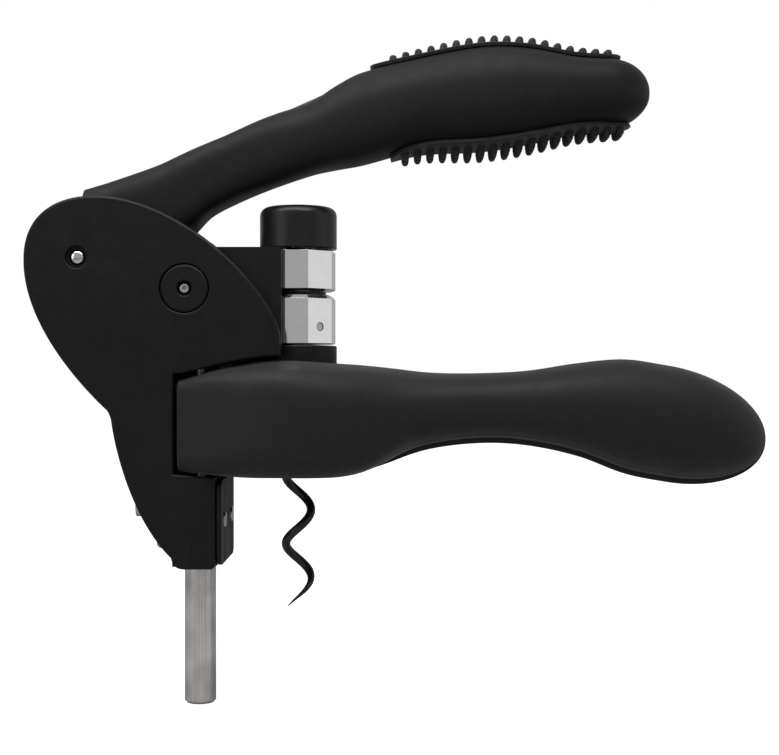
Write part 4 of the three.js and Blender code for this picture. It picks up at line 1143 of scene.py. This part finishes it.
def clearances(neck_radius):
    """The spaces a handle leaves: neck, holder, spine, holder's arm, cheeks, the root's swing, hinge pin."""
    return [
        bar(neck_radius, -BEYOND, STOP_T + 0.3),
        bar(HEAD_R + 0.5, 0, BEYOND),
        block(-BEYOND, SPINE_SPACE_X, -SPINE_SPACE_Y, SPINE_SPACE_Y, -BEYOND, BEYOND),
        block(-BEYOND, 0, -HOLDER_ARM_SPACE_Y, HOLDER_ARM_SPACE_Y, STOP_T, BEYOND),
        block(-BEYOND, CHEEK_SPACE_X, -PLATE_IN, PLATE_IN, CHEEK_SPACE_Z, BEYOND),
        block(-BEYOND, HINGE_X + 1.6, -HINGE_Y - 0.3, HINGE_Y + 0.3, CHEEK_SPACE_Z, BEYOND),
        bar(HINGE_PIN_R + 0.15, -BEYOND, BEYOND, HINGE_X, HINGE_Y, 24),
    ]


def neck_pad():
    """A half ring with four shallow grooves round its inside, and its ends short of the split."""
    profile = [(LINING_IN_R, -15), (LINING_OUT_R, -15), (LINING_OUT_R, -0.6), (LINING_IN_R, -0.6)]
    for z in (-3.4, -5.8, -8.2, -10.6):
        profile += [(LINING_IN_R, z + 0.5), (LINING_GROOVE_R, z + 0.3)]
        profile += [(LINING_GROOVE_R, z - 0.3), (LINING_IN_R, z - 0.5)]
    bm = bmesh.new()
    line = [bm.verts.new((r, 0, z)) for r, z in profile]
    bmesh.ops.spin(
        bm, geom=[bm.faces.new(line)], cent=(0, 0, 0), axis=(0, 0, 1), dvec=(0, 0, 0),
        angle=math.radians(156), steps=64,
    )
    put(bm, turn=Matrix.Rotation(math.radians(12), 4, "Z"))
    bmesh.ops.recalc_face_normals(bm, faces=bm.faces[:])
    return round_edges(bm, 0.15, 2)


for side, way in (("left", 1), ("right", -1)):
    body = f"{side}_handle"
    shell = hollowed(
        handle_half(0, SHELL_FROM, lip=LIP, bead=BEAD),
        handle_half(SHELL_T, 0.0, step=2.4), *clearances(JAW_R + 1),
    )
    piece(
        f"{side}_shell", mirrored(shell, way), soft_touch, body, "soft_touch", f"{side}_handle_shell",
        crisp=False,
    )
    core = merged(
        hollowed(handle_half(0, MEET, MEET + CORE_RIM_T), *clearances(JAW_R)),
        hollowed(handle_half(CORE_INSET, MEET + 0.02, step=2.4), *clearances(JAW_R)),
    )
    piece(f"{side}_core", mirrored(core, way), nylon, body, "nylon", f"{side}_handle_core", crisp=False)
    piece(f"{side}_jaw_lining", mirrored(neck_pad(), way), rubber, body, "rubber", f"{side}_neck_pad")
    # The hinge pins take the dark steel as painted shade in their gap.
    finish_nodes(pin_shade_steel, f"{side}_hinge_pin")


# ---- Studio ----
# A pale floor under the rod's foot, a white room, and four soft lights.

floor_mesh = bmesh.new()
bmesh.ops.create_grid(floor_mesh, x_segments=1, y_segments=1, size=4.0)
bmesh.ops.translate(floor_mesh, vec=(0, 0, ROD_FOOT_Z * MM - 0.0002), verts=floor_mesh.verts[:])
floor_data = bpy.data.meshes.new("floor")
floor_mesh.to_mesh(floor_data)
floor_mesh.free()
floor = bpy.data.objects.new("floor", floor_data)
bpy.context.scene.collection.objects.link(floor)
floor_paint = bpy.data.materials.new("floor_paint")
floor_paint.use_nodes = True
floor_shader = floor_paint.node_tree.nodes["Principled BSDF"]
floor_shader.inputs["Base Color"].default_value = (0.5, 0.5, 0.5, 1)
floor_shader.inputs["Roughness"].default_value = 0.9
floor_shader.inputs["Emission Color"].default_value = (1, 1, 1, 1)
floor_eye = add_node(floor_paint.node_tree, "ShaderNodeLightPath")
floor_paint.node_tree.links.new(floor_eye.outputs["Is Camera Ray"], floor_shader.inputs["Emission Strength"])
floor_data.materials.append(floor_paint)

world = bpy.data.worlds.new("studio")
world.use_nodes = True
bpy.context.scene.world = world
sky = world.node_tree.nodes["Background"]
room = add_node(world.node_tree, "ShaderNodeBackground", [("Color", (1, 1, 1, 1)), ("Strength", 0.40)])
eye = add_node(world.node_tree, "ShaderNodeLightPath")
sky.inputs["Color"].default_value = (1, 1, 1, 1)
sky.inputs["Strength"].default_value = 1.0
choice = add_node(
    world.node_tree, "ShaderNodeMixShader",
    [("Fac", eye.outputs["Is Camera Ray"]), (1, room.outputs[0]), (2, sky.outputs[0])],
)
world.node_tree.links.new(choice.outputs[0], world.node_tree.nodes["World Output"].inputs["Surface"])


def soft_light(name, place, aim, width, height, power_w):
    lamp = bpy.data.lights.new(name, "AREA")
    lamp.shape = "RECTANGLE"
    lamp.size, lamp.size_y = width, height
    lamp.energy = power_w
    lamp_object = bpy.data.objects.new(name, lamp)
    lamp_object.location = place
    lamp_object.rotation_euler = (Vector(aim) - Vector(place)).to_track_quat("-Z", "Y").to_euler()
    bpy.context.scene.collection.objects.link(lamp_object)


soft_light("overhead", (-0.02, -0.10, 0.34), (0.01, -0.01, 0.03), 0.5, 0.22, 0.75)
soft_light("top_strip", (-0.03, -0.085, 0.155), (-0.02, 0, 0.02), 0.24, 0.04, 0.16)
soft_light("left_panel", (-0.55, -0.45, 0.15), (0, 0, 0.02), 0.3, 0.5, 0.5)
soft_light("right_panel", (0.72, -0.14, 0.10), (0, 0, 0.02), 0.5, 0.5, 0.28)
bpy.context.scene.view_settings.view_transform = "Standard"
